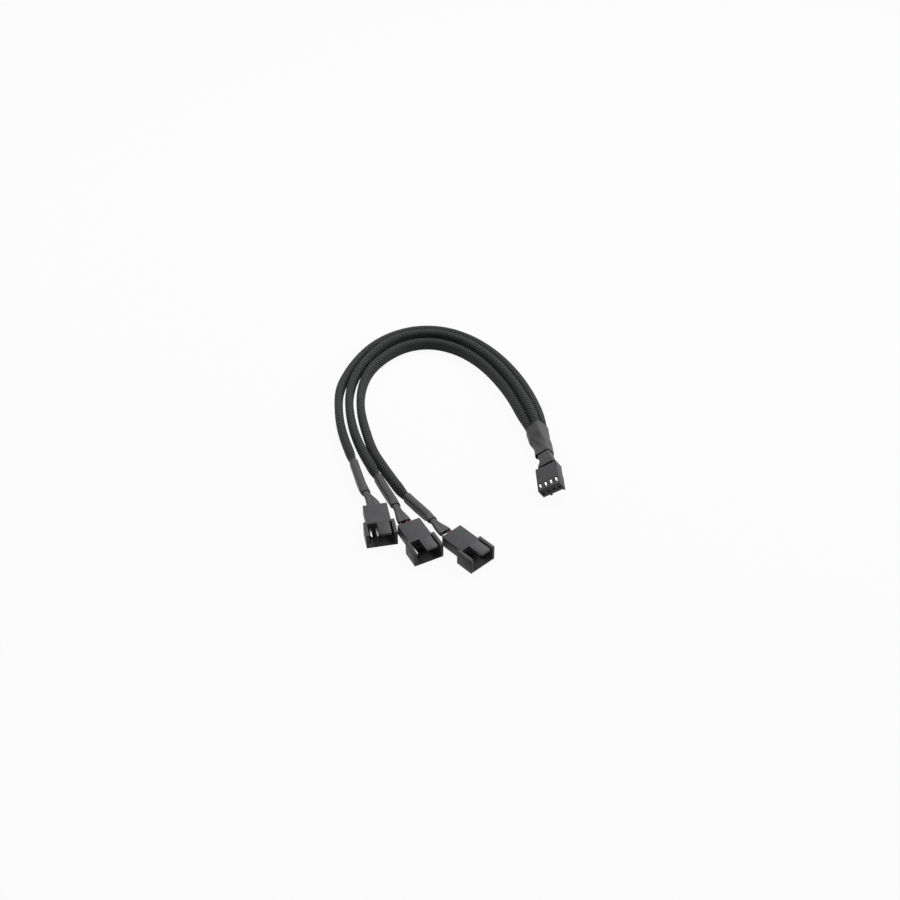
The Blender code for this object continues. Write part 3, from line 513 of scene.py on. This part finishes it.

# %% [markdown]
# ## The finish of the braid
# The threads of the braid shine a little on the crowns, and the gaps between the yarns lie in deep shade.
# That shade is painted into the colour, which goes from the yarn's own colour on the crowns to a painted
# shade, nearly black, in the gaps and in the grooves between threads. A picture of a weave would blur close
# up and slide off the mesh. Here the weave's own height gives the colour with its painted shade, the
# roughness and the finest relief, so the finish always fits the mesh under it.

# %% Braid material
BRAID_PAINTED_SHADE = (0.001, 0.0011, 0.001, 1.0)
BRAID_YARN_COLOUR = (0.1, 0.111, 0.106, 1.0)
FUZZ_SCALE = 9.0
FUZZ_DETAIL = 3.0
CROWN_CONTRAST = 3.0
GAP_ROUGHNESS = 0.85
CROWN_SMOOTHNESS = 0.3
THREAD_RELIEF = 0.35
BRAID_BUMP = 0.12 * MM
BRAID_BUMP_STRENGTH = 0.6

braid, tree, shader = new_material("braided sleeve", GAP_ROUGHNESS, specular=0.2)
flat_map = add_node(tree, "ShaderNodeUVMap", uv_map="flat").outputs[0]
woven = add_group(tree, weave, {"Cells": flat_map})
threads = scaled(tree, woven["Thread"], 0.5, 0.5)
crowns = maths(tree, "POWER", woven["Height"], CROWN_CONTRAST)
fuzz = maths(tree, "ADD", noise_at(tree, flat_map, FUZZ_SCALE, FUZZ_DETAIL), 0.5)
shade = maths(tree, "MULTIPLY", maths(tree, "MULTIPLY", crowns, threads), fuzz, clamp=True)
# Colour: the yarn's own colour on the crowns, falling to a painted shade, nearly black, in the gaps and
# thread grooves
tree.links.new(blend(tree, shade, BRAID_PAINTED_SHADE, BRAID_YARN_COLOUR), shader.inputs["Base Color"])
tree.links.new(scaled(tree, shade, -CROWN_SMOOTHNESS, GAP_ROUGHNESS), shader.inputs["Roughness"])
relief = scaled(tree, woven["Thread"], THREAD_RELIEF, woven["Height"])
add_bump(tree, shader, relief, BRAID_BUMP_STRENGTH, BRAID_BUMP)
for piece in braided:
    give_material(piece, braid)
print("braid on", len(braided), "leads")

# %% [markdown]
# ## Fine mottle
# Moulded nylon, shrink tubing and wire insulation are all smooth, but never perfectly: the surface has a fine
# grain and slow, faint waves. One group gives both, and each material sets how large and how strong they are.

# %% Mottle group
GRAIN_DETAIL = 2.0
WAVE_DETAIL = 3.0

mottle, mottle_in, mottle_out = new_group(
    "fine mottle",
    {"Place": "NodeSocketVector", "Grain Scale": "NodeSocketFloat", "Wave Scale": "NodeSocketFloat"},
    {"Grain": "NodeSocketFloat", "Wave": "NodeSocketFloat"},
)
for label, detail in (("Grain", GRAIN_DETAIL), ("Wave", WAVE_DETAIL)):
    speckle = noise_at(mottle, mottle_in["Place"], mottle_in[f"{label} Scale"], detail)
    mottle.links.new(speckle, mottle_out[label])
print("mottle group:", len(mottle.nodes), "nodes")

# %% Plastic, tubing and insulation
MOTTLE_CONTRAST = 3.0
ROUGHNESS_SPREAD = 0.16
GRAIN_BUMP_STRENGTH = 0.5


def mottled_material(name, dark, light, roughness, grain_scale, wave_scale, grain_bump, specular=0.5):
    made, tree, shader = new_material(name, roughness, specular=specular)
    place = add_node(tree, "ShaderNodeTexCoord").outputs["Object"]
    sockets = {"Place": place, "Grain Scale": grain_scale, "Wave Scale": wave_scale}
    speckles = add_group(tree, mottle, sockets)
    both = maths(tree, "MULTIPLY", speckles["Grain"], speckles["Wave"])
    share = maths(tree, "MULTIPLY", both, MOTTLE_CONTRAST, clamp=True)
    tree.links.new(blend(tree, share, dark, light), shader.inputs["Base Color"])
    rough = scaled(tree, speckles["Wave"], ROUGHNESS_SPREAD, roughness - ROUGHNESS_SPREAD / 2)
    tree.links.new(rough, shader.inputs["Roughness"])
    add_bump(tree, shader, speckles["Grain"], GRAIN_BUMP_STRENGTH, grain_bump)
    return made


nylon = mottled_material(
    "moulded nylon", dark=(0.044, 0.044, 0.047, 1.0), light=(0.066, 0.066, 0.070, 1.0),
    roughness=0.45, grain_scale=6000.0, wave_scale=250.0, grain_bump=0.02 * MM, specular=0.15,
)
shrink = mottled_material(
    "shrink tubing", dark=(0.040, 0.040, 0.041, 1.0), light=(0.058, 0.058, 0.059, 1.0),
    roughness=0.5, grain_scale=2500.0, wave_scale=350.0, grain_bump=0.03 * MM, specular=0.25,
)
black_insulation = mottled_material(
    "black insulation", dark=(0.012, 0.012, 0.012, 1.0), light=(0.022, 0.022, 0.022, 1.0),
    roughness=0.4, grain_scale=3000.0, wave_scale=400.0, grain_bump=0.01 * MM,
)
red_insulation = mottled_material(
    "red insulation", dark=(0.18, 0.005, 0.02, 1.0), light=(0.28, 0.01, 0.035, 1.0),
    roughness=0.4, grain_scale=3000.0, wave_scale=400.0, grain_bump=0.01 * MM, specular=0.25,
)
print("mottled materials:", nylon.name, shrink.name, black_insulation.name, red_insulation.name)

# %% [markdown]
# ## Contacts
# The contacts are stamped from thin tinned metal. In the female plug only the raised tang of each one catches
# the light in its window, and the strip under it lies in the shade of the window's walls. That shade is
# painted:
# the mesh carries a value that says how far a point is raised, and the colour goes from painted shade on the
# strip to the tin's own colour on the tang. The male pins are satin all over, with a fine grain from drawing
# and plating.

# %% Contact metal
STRIP_PAINTED_SHADE = (0.16, 0.16, 0.155, 1.0)
TANG_BRIGHT = (0.9, 0.9, 0.88, 1.0)
PIN_DARK = (0.80, 0.80, 0.78, 1.0)
PIN_BRIGHT = (0.96, 0.96, 0.94, 1.0)
PIN_ROUGHNESS = 0.5
PIN_ROUGHNESS_SPREAD = 0.2
PIN_GRAIN_SCALE = 4000.0

contact_with_painted_shade, tree, shader = new_material("contact with painted shade", roughness=0.45, metallic=1.0)
raised = add_node(tree, "ShaderNodeAttribute", attribute_name="raised").outputs["Fac"]
# Colour: painted shade on the strip under the tang, the tin's own colour on the raised tang
tree.links.new(blend(tree, raised, STRIP_PAINTED_SHADE, TANG_BRIGHT), shader.inputs["Base Color"])

pin_metal, tree, shader = new_material("satin pin", PIN_ROUGHNESS, metallic=0.5)
place = add_node(tree, "ShaderNodeTexCoord").outputs["Object"]
drawn = noise_at(tree, place, PIN_GRAIN_SCALE, GRAIN_DETAIL)
tree.links.new(blend(tree, drawn, PIN_DARK, PIN_BRIGHT), shader.inputs["Base Color"])
rough = scaled(tree, drawn, PIN_ROUGHNESS_SPREAD, PIN_ROUGHNESS - PIN_ROUGHNESS_SPREAD / 2)
tree.links.new(rough, shader.inputs["Roughness"])
print("contact metals:", contact_with_painted_shade.name, pin_metal.name)

# %% [markdown]
# ## Finishes by slot
# The record of the model names a finish for each solid, and one table turns that name into a material. The
# male pins alone get their own satin metal. The pieces made below take their materials from the same table,
# so a piece and the solid that it stands for always agree.

# %% Finishes
FINISHES = {
    "black_nylon": nylon,
    "black_shrink": shrink,
    "braided_sleeve": braid,
    "tinned_contact": contact_with_painted_shade,
    "black_wire": black_insulation,
    "red_wire": red_insulation,
}
for entry in frame["record"]["subparts"]:
    is_pin = entry["node"].startswith("male_pin")
    finish = pin_metal if is_pin else FINISHES[entry["material_slot"]]
    give_material(frame["nodes"][entry["node"]], finish)


def dress(piece, slot, *nodes):
    """Gives a finished piece the finish of its slot and its body, and hides the solids that it stands for."""
    give_material(piece, FINISHES[slot])
    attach(piece, "root")
    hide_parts(*nodes)


# %% [markdown]
# ## Where the wires lie
# A male plug holds its wires in a level row. Behind the plug they are drawn together into a zigzag bundle. In
# the female plug up to three wires share each contact, one above another, and towards the leads the whole
# block turns on its side, so that each lead's wires end up in a standing row of their own.

# %% Wire places
PITCH = 2.54 * MM
CONTACTS = 4
CONTACT_NAMES = ("control", "signal", "supply", "ground")
MALE_CONTACTS = {"a": (0, 1, 2, 3), "b": (0, 2, 3), "c": (0, 2, 3)}
WIRE_DIAMETER = 0.9 * MM
ROW_PITCH = 1.05 * MM
BRAID_END_GAP = 0.7 * MM
TAIL_FLARE_RUN = 8.5 * MM
BRANCH_PITCHES = (PITCH, 1.3 * MM, 0.5 * MM)
BRANCH_RISES = (0.0, 0.15 * MM, 0.45 * MM)
NECK_START = 1.1 * MM
NECK_FLARE_RUN = 4.0 * MM
TRUNK_PITCHES = (PITCH, 2.1 * MM, 1.4 * MM, 1.1 * MM, 1.0 * MM)
TRUNK_TURNS = (33.0, 34.0, 37.0, 44.0, 90.0)


def from_middle(index):
    return index - (CONTACTS - 1) / 2


def branch_places(lead, distance):
    """Places of a lead's wires across its line, near its male plug."""
    mouth = MALE_WIRE_SEAT + TAIL_MOUTH[lead]
    stops = (MALE_WIRE_SEAT, mouth, mouth + TAIL_FLARE_RUN)
    pitch = eased(distance, stops, BRANCH_PITCHES)
    rise = eased(distance, stops, BRANCH_RISES)
    return [(from_middle(index) * pitch, rise * (-1) ** index) for index in MALE_CONTACTS[lead]]


def trunk_place(distance, index, row):
    """Place of one wire across the trunk's line."""
    rear = FEMALE_WIRE_SEAT
    mouth = rear + NECK_START
    stops = (rear, mouth, mouth + NECK_FLARE_RUN, rear + TRUNK_START, rear + TRUNK_SLEEVE_END)
    pitch = eased(distance, stops, TRUNK_PITCHES)
    spacing = eased(distance, stops, (*[ROW_PITCH] * 4, TRUNK_SLEEVE_SPACING))
    lift = eased(distance, stops, (*[0.0] * 4, TRUNK_MIDDLE_LIFT))
    turn = math.radians(eased(distance, stops, TRUNK_TURNS))
    column, step = from_middle(index) * pitch, row * spacing
    across = column * math.cos(turn) + step * math.sin(turn)
    up = column * math.sin(turn) - step * math.cos(turn) + (1 - abs(row)) * lift
    return across, up


def trunk_places(distance):
    return [
        trunk_place(distance, index, LEAD_ROWS[lead] - 1)
        for lead, indices in MALE_CONTACTS.items()
        for index in indices
    ]


# %% [markdown]
# ## Wires
# Only a few millimetres of wire show, between each plug and its shrink tubing. Each is the same rolled strip,
# now with a round section, and both its ends are closed.

# %% Wires
WIRE_STEP = 0.8 * MM
WIRE_SIDES = 16
ROUND_UP_TO = math.radians(50)


def wire(name, line, distances, places, slot, node):
    """Round tube along a line, through the wire's places across it at some distances."""
    last = len(distances) - 1
    across, up = line.frame(distances)[1:]
    offsets = np.array(places)
    centres = line.point(distances) + offsets[:, :1] * across + offsets[:, 1:] * up

    def place(turn, share):
        row = np.rint(share * last).astype(int)
        right = np.cos(2 * math.pi * turn)[:, None] * across[row]
        high = np.sin(2 * math.pi * turn)[:, None] * up[row]
        return centres[row] + WIRE_DIAMETER / 2 * (right + high)

    piece = rolled_strip(name, WIRE_SIDES, last, place, (1.0, 1.0))
    close_ends()
    bpy.ops.object.shade_smooth_by_angle(angle=ROUND_UP_TO)
    dress(piece, slot, node)


trunk_stop = FEMALE_WIRE_SEAT + TRUNK_SLEEVE_END - BRAID_END_GAP
far_end = np.r_[0.0, stations(FEMALE_WIRE_SEAT, trunk_stop, WIRE_STEP)]
for lead, indices in MALE_CONTACTS.items():
    near_end = np.r_[0.0, stations(MALE_WIRE_SEAT, sleeve_start(lead) - BRAID_END_GAP, WIRE_STEP)]
    for order, index in enumerate(indices):
        contact = CONTACT_NAMES[index]
        slot = "red_wire" if contact == "supply" else "black_wire"
        places = [branch_places(lead, distance)[order] for distance in near_end]
        wire(f"{contact}_wire_{lead}", LEADS[lead], near_end, places, slot, f"wire_{lead}_{contact}")
        places = [trunk_place(distance, index, LEAD_ROWS[lead] - 1) for distance in far_end]
        node = f"trunk_wire_{lead}_{contact}"
        wire(f"{contact}_trunk_wire_{lead}", TRUNK, far_end, places, "black_wire", node)
print("wires:", 2 * sum(len(indices) for indices in MALE_CONTACTS.values()))

# %% [markdown]
# ## Shrink tubing
# Shrink tubing is slipped on wide and heated until it grips. It stretches straight from one wire to the next
# and sinks in a little between them, so the wires show through as soft ridges. Its outline is found from the
# circles it wraps: in each direction the outermost circle carries it.

# %% Outlines round wires
SHRINK_WALL = 0.3 * MM
SHRINK_GAP = 0.2 * MM
LAYER = SHRINK_GAP + SHRINK_WALL
WIRES_REACH = WIRE_DIAMETER / 2 + LAYER
OUTER_REACH = WIRES_REACH + LAYER
DIRECTION_COUNT = 144
DIRECTIONS = np.linspace(0, 2 * math.pi, DIRECTION_COUNT + 1)[:-1]
SKIN_AROUND = 72
SKIN_SAG = 0.2
MOST_SAG = 0.08 * MM


def stretched(centres, reach):
    """Points of the outline stretched round circles at the centres, one for each direction."""
    normals = np.stack([np.cos(DIRECTIONS), np.sin(DIRECTIONS)], axis=-1)
    return np.array(centres)[np.argmax(normals @ np.array(centres).T, axis=1)] + reach * normals


def skin_outline(outer, centres, reach, sag):
    """Even steps round an outline, sunk in by a share of its distance from the circles that it wraps."""
    closed = np.vstack([outer, outer[:1]])
    run = np.r_[0, np.cumsum(np.linalg.norm(np.diff(closed, axis=0), axis=1))]
    steps = np.linspace(0, run[-1], SKIN_AROUND + 1)[:-1]
    even = np.stack([np.interp(steps, run, closed[:, axis]) for axis in range(2)], axis=-1)
    away = np.linalg.norm(even[:, None] - np.array(centres)[None], axis=2).min(axis=1) - reach
    inward = unit(even.mean(axis=0) - even)
    return even + inward * np.clip(away * sag, 0.0, MOST_SAG)[:, None]


def squeezed_centres(scale, middle=(0.0, 0.0)):
    """Centres of the two half circles of a lead's squeezed section."""
    rise = SLEEVE_STRAIGHT * scale
    return [(middle[0], middle[1] - rise), (middle[0], middle[1] + rise)]


def stepped_outline(distance, wires, sleeves, reaches, stops):
    """Outline over the wires before the stops, over the braid's end after them, and a smooth step between."""
    share = eased(distance, stops, (0.0, 1.0))
    outer = stretched(wires, reaches[0]) * (1 - share) + stretched(sleeves, reaches[1]) * share
    return skin_outline(outer, wires, reaches[0], SKIN_SAG * (1 - share))


# %% [markdown]
# ## A wall of even thickness
# Each piece of tubing is one rolled strip of rings. Heat never shrinks it quite evenly, so a slow noise
# moves the skin by a few hundredths of a millimetre, and the cut ends are drawn in a little. Solidify then
# gives the strip its wall, and a narrow bevel breaks the cut edges.

# %% Tubing
SKIN_STEP = 0.4 * MM
RIPPLE = 0.05 * MM
RIPPLE_SCALE = 260.0
LIP_RUN = 0.5 * MM
LIP = 0.05 * MM
CUT_EDGE = 0.07 * MM
CUT_EDGE_ANGLE = math.radians(60)
EDGE_SEGMENTS = 2


def tubing_ring(line, distance, flat, lip):
    """Points of an outline at its place on the line, rippled a little and drawn in by the lip."""
    origin = line.point(distance)
    across, up = line.frame(distance)[1:]
    ring = []
    for point, outward in zip(flat, unit(flat - flat.mean(axis=0))):
        smooth = origin + point[0] * across + point[1] * up
        ripple = RIPPLE * noise.noise(Vector(smooth * RIPPLE_SCALE))
        point = point + outward * (ripple - lip)
        ring.append(origin + point[0] * across + point[1] * up)
    return ring


def add_bevel(piece, name, width, sharp_from):
    edge = piece.modifiers.new(name, "BEVEL")
    edge.width = width
    edge.segments = EDGE_SEGMENTS
    edge.limit_method = "ANGLE"
    edge.angle_limit = sharp_from


def tubing(name, line, start, end, outline, node):
    """Tube along a line whose outline at each distance is given, with an even wall and drawn-in ends."""
    distances = stations(start, end, SKIN_STEP)
    rings = []
    for distance in distances:
        from_end = min(distance - start, end - distance)
        lip = LIP * max(0.0, 1 - from_end / LIP_RUN) ** 2
        rings.append(tubing_ring(line, distance, outline(distance), lip))
    rings = np.array(rings)

    def place(turn, share):
        column = np.rint(turn * SKIN_AROUND).astype(int) % SKIN_AROUND
        row = np.rint(share * (len(distances) - 1)).astype(int)
        return rings[row, column]

    size = (SKIN_AROUND * SKIN_STEP / MM, (end - start) / MM)
    piece = rolled_strip(name, SKIN_AROUND, len(distances) - 1, place, size)
    wall = piece.modifiers.new("wall", "SOLIDIFY")
    wall.thickness = SHRINK_WALL
    wall.offset = -1.0
    wall.use_even_offset = True
    add_bevel(piece, "cut edge", CUT_EDGE, CUT_EDGE_ANGLE)
    apply_all(piece)
    bpy.ops.object.shade_smooth_by_angle(angle=ROUND_UP_TO)
    dress(piece, "black_shrink", node)
    print(name, round((end - start) / MM, 1), "mm,", len(piece.data.polygons), "faces")


# %% [markdown]
# ## Tubing at the male plugs
# Two pieces of tubing follow each other behind a male plug. The narrow tail wraps the wires from just behind
# the housing, where they still lie in a wide row. The branch tubing slips over the tail's end and over the
# end of the braid, with a smooth step where the braid begins.

# %% Tails and branches
TAIL_TUCK = 2.2 * MM
BRANCH_NECKING = 3.3 * MM
NECKING_END = 0.3 * MM
BRANCH_REACH = SLEEVE_SQUEEZE * SLEEVE_WIDTH / 2 + LAYER


def over_wires(lead, distance):
    places = branch_places(lead, distance)
    return skin_outline(stretched(places, WIRES_REACH), places, WIRES_REACH, SKIN_SAG)


def over_braid_end(lead, distance):
    places = branch_places(lead, distance)
    stops = (sleeve_start(lead) - BRANCH_NECKING, sleeve_start(lead) - NECKING_END)
    sleeve = squeezed_centres(SLEEVE_SQUEEZE)
    return stepped_outline(distance, places, sleeve, (OUTER_REACH, BRANCH_REACH), stops)


for lead, line in LEADS.items():
    tail_start = MALE_WIRE_SEAT + TAIL_MOUTH[lead]
    branch_start = MALE_WIRE_SEAT + BRANCH_SHRINK_START[lead]
    branch_end = branch_start + BRANCH_SHRINK_LENGTH[lead]
    runs = {
        "tail": (tail_start, branch_start + TAIL_TUCK, over_wires),
        "branch": (branch_start, branch_end, over_braid_end),
    }
    for kind, (start, end, outline) in runs.items():
        node = f"{kind}_shrink_{lead}"
        tubing(f"{kind}_tubing_{lead}", line, start, end, partial(outline, lead), node)

# %% [markdown]
# ## Tubing at the female plug
# The neck wraps the bare wires, and the wide trunk tubing goes over its end and over the ends of all three
# leads. Neither lies close on the left, so the outline also wraps one extra place that is held off the wires
# there. Where the leads begin, the trunk tubing steps up over them as it does on the branches.

# %% Neck and trunk
NECK_TUCK = 3.5 * MM
NECK_LOOSE_SIDE = 1.0 * MM
TRUNK_LOOSE_SIDE = 1.4 * MM
TRUNK_LOOSE_RUN = 12.0 * MM
TRUNK_NECKING = 4.0 * MM
TRUNK_REACH = TRUNK_SQUEEZE * SLEEVE_WIDTH / 2 + LAYER


def loose_places(distance, loose):
    """The trunk's wires, and one more place that holds the tubing off them on the left."""
    places = trunk_places(distance)
    left = min(places)
    return [*places, (left[0] - loose, left[1])]


def over_neck(distance):
    stops = (FEMALE_WIRE_SEAT + NECK_START + NECK_FLARE_RUN, FEMALE_WIRE_SEAT + TRUNK_START)
    places = loose_places(distance, eased(distance, stops, (0.0, NECK_LOOSE_SIDE)))
    return skin_outline(stretched(places, WIRES_REACH), places, WIRES_REACH, SKIN_SAG)


def over_trunk(distance):
    mouth = FEMALE_WIRE_SEAT + TRUNK_START
    loose = eased(distance, (mouth, mouth + TRUNK_LOOSE_RUN), (TRUNK_LOOSE_SIDE, 0.0))
    places = loose_places(distance, loose)
    end = FEMALE_WIRE_SEAT + TRUNK_SLEEVE_END
    origin = TRUNK.point(max(distance, end))
    along, across, up = TRUNK.frame(max(distance, end))
    sleeves = []
    for line in LEADS.values():
        offset = line.crossing(origin, along) - origin
        sleeves += squeezed_centres(TRUNK_SQUEEZE, (float(offset @ across), float(offset @ up)))
    stops = (end - TRUNK_NECKING, end - NECKING_END)
    return stepped_outline(distance, places, sleeves, (OUTER_REACH, TRUNK_REACH), stops)


neck_start = FEMALE_WIRE_SEAT + NECK_START
trunk_start = FEMALE_WIRE_SEAT + TRUNK_START
tubing("neck_tubing", TRUNK, neck_start, trunk_start + NECK_TUCK, over_neck, "neck_shrink")
tubing("trunk_tubing", TRUNK, trunk_start, trunk_start + TRUNK_LENGTH, over_trunk, "trunk_shrink")

# %% [markdown]
# ## Plug housings
# The housings are moulded nylon. A moulded edge is never sharp, and it is the thin bright line along it that
# makes plastic look real. Each solid is copied, its loose triangles are merged into clean faces, and every
# sharp edge is rolled over with a narrow bevel. The female plug's contacts are softened in the same way, and
# each of their points keeps its height in the plug as the value from which their material paints shade on the
# strip under the tang.

# %% Housings and their contacts
HOUSING_EDGE = 0.08 * MM
HOUSING_EDGE_ANGLE = math.radians(50)
FLAT_UP_TO = math.radians(1.0)
HOUSING_ROUND_UP_TO = math.radians(30)
TANG_LOW = 1.42 * MM
TANG_HIGH = 1.6 * MM
TO_PLUG = FEMALE_TURN.transposed()


def softened(node, name, slot):
    """Copy of a solid with clean faces and its sharp edges rolled over."""
    source = frame["nodes"][node]
    piece = bpy.data.objects.new(name, source.data.copy())
    piece.data.transform(source.matrix_world)
    bpy.context.scene.collection.objects.link(piece)
    select_only(piece)
    edit_all(
        lambda: bpy.ops.mesh.remove_doubles(threshold=MERGE),
        lambda: bpy.ops.mesh.dissolve_limited(angle_limit=FLAT_UP_TO),
    )
    add_bevel(piece, "moulded edge", HOUSING_EDGE, HOUSING_EDGE_ANGLE)
    apply_all(piece)
    bpy.ops.object.shade_smooth_by_angle(angle=HOUSING_ROUND_UP_TO)
    dress(piece, slot, node)
    print(name, len(piece.data.polygons), "faces")
    return piece


softened("female_housing", "female_plug", "black_nylon")
for number in range(1, CONTACTS + 1):
    contact = softened(f"female_terminal_{number}", f"plug_contact_{number}", "tinned_contact")
    # How far each point is raised sets its painted shade: the low strip gets painted shade, the raised tang
    # bare tin
    above = [(TO_PLUG @ (vertex.co - FEMALE_PLACE)).z for vertex in contact.data.vertices]
    heights = np.interp(above, (TANG_LOW, TANG_HIGH), (0.0, 1.0))
    contact.data.attributes.new("raised", "FLOAT", "POINT").data.foreach_set("value", heights)
for lead in LEADS:
    softened(f"male_housing_{lead}", f"male_plug_{lead}", "black_nylon")

# %% [markdown]
# ## Table and light
# The cable lies on a pale table under three broad, soft lamps. The strongest stands behind and above it, one
# stands low at the right for the sides of the plugs, and one at the left lifts the shadows. The table and
# the surroundings show almost white to the camera and in reflections, and stay calm as light.

# %% Table
TABLE_SIDE = 3.0
TABLE_GREY = (0.5, 0.5, 0.5, 1.0)
WHITE = (1.0, 1.0, 1.0, 1.0)
WHITE_SHARE = 0.94


def seen_ray(tree):
    """One for a ray from the camera, or one reflected or passed on, and nought for the rest."""
    rays = add_node(tree, "ShaderNodeLightPath").outputs
    either = maths(tree, "MAXIMUM", rays["Is Camera Ray"], rays["Is Glossy Ray"])
    return maths(tree, "MAXIMUM", either, rays["Is Transmission Ray"])


deselect()
bpy.ops.mesh.primitive_plane_add(size=TABLE_SIDE, location=(0.0, 0.0, 0.0))
table = bpy.context.object
table.name = "table"
table_look, tree, shader = new_material("pale table", roughness=0.8, specular=0.1)
shader.inputs["Base Color"].default_value = TABLE_GREY
glow = add_node(tree, "ShaderNodeEmission", {"Color": WHITE, "Strength": 1.0})
white = add_node(tree, "ShaderNodeMixShader", {0: maths(tree, "MULTIPLY", seen_ray(tree), WHITE_SHARE)})
tree.links.new(shader.outputs[0], white.inputs[1])
tree.links.new(glow.outputs[0], white.inputs[2])
tree.links.new(white.outputs[0], tree.nodes["Material Output"].inputs["Surface"])
table.data.materials.append(table_look)
print("table:", TABLE_SIDE, "m square")

# %% Surroundings and lamps
AMBIENT = 0.12
LAMP_AIM = Vector((0.01, 0.07, 0.0))

world = bpy.data.worlds.new("studio")
bpy.context.scene.world = world
world.use_nodes = True
tree = world.node_tree
background = tree.nodes["Background"]
background.inputs["Color"].default_value = WHITE
tree.links.new(scaled(tree, seen_ray(tree), 1.0 - AMBIENT, AMBIENT), background.inputs["Strength"])


def lamp(name, place, size, power):
    data = bpy.data.lights.new(name, "AREA")
    data.shape = "DISK"
    data.size = size
    data.energy = power
    made = bpy.data.objects.new(name, data)
    made.location = place
    made.rotation_euler = (LAMP_AIM - Vector(place)).to_track_quat("-Z", "Y").to_euler()
    bpy.context.scene.collection.objects.link(made)
    print(name, power, "W")


lamp("soft key", place=(0.25, 0.45, 0.6), size=0.4, power=4.0)
lamp("right side", place=(0.65, 0.1, 0.3), size=0.3, power=2.0)
lamp("soft fill", place=(-0.4, 0.25, 0.6), size=0.5, power=2.2)
bpy.context.scene.view_settings.view_transform = "Standard"
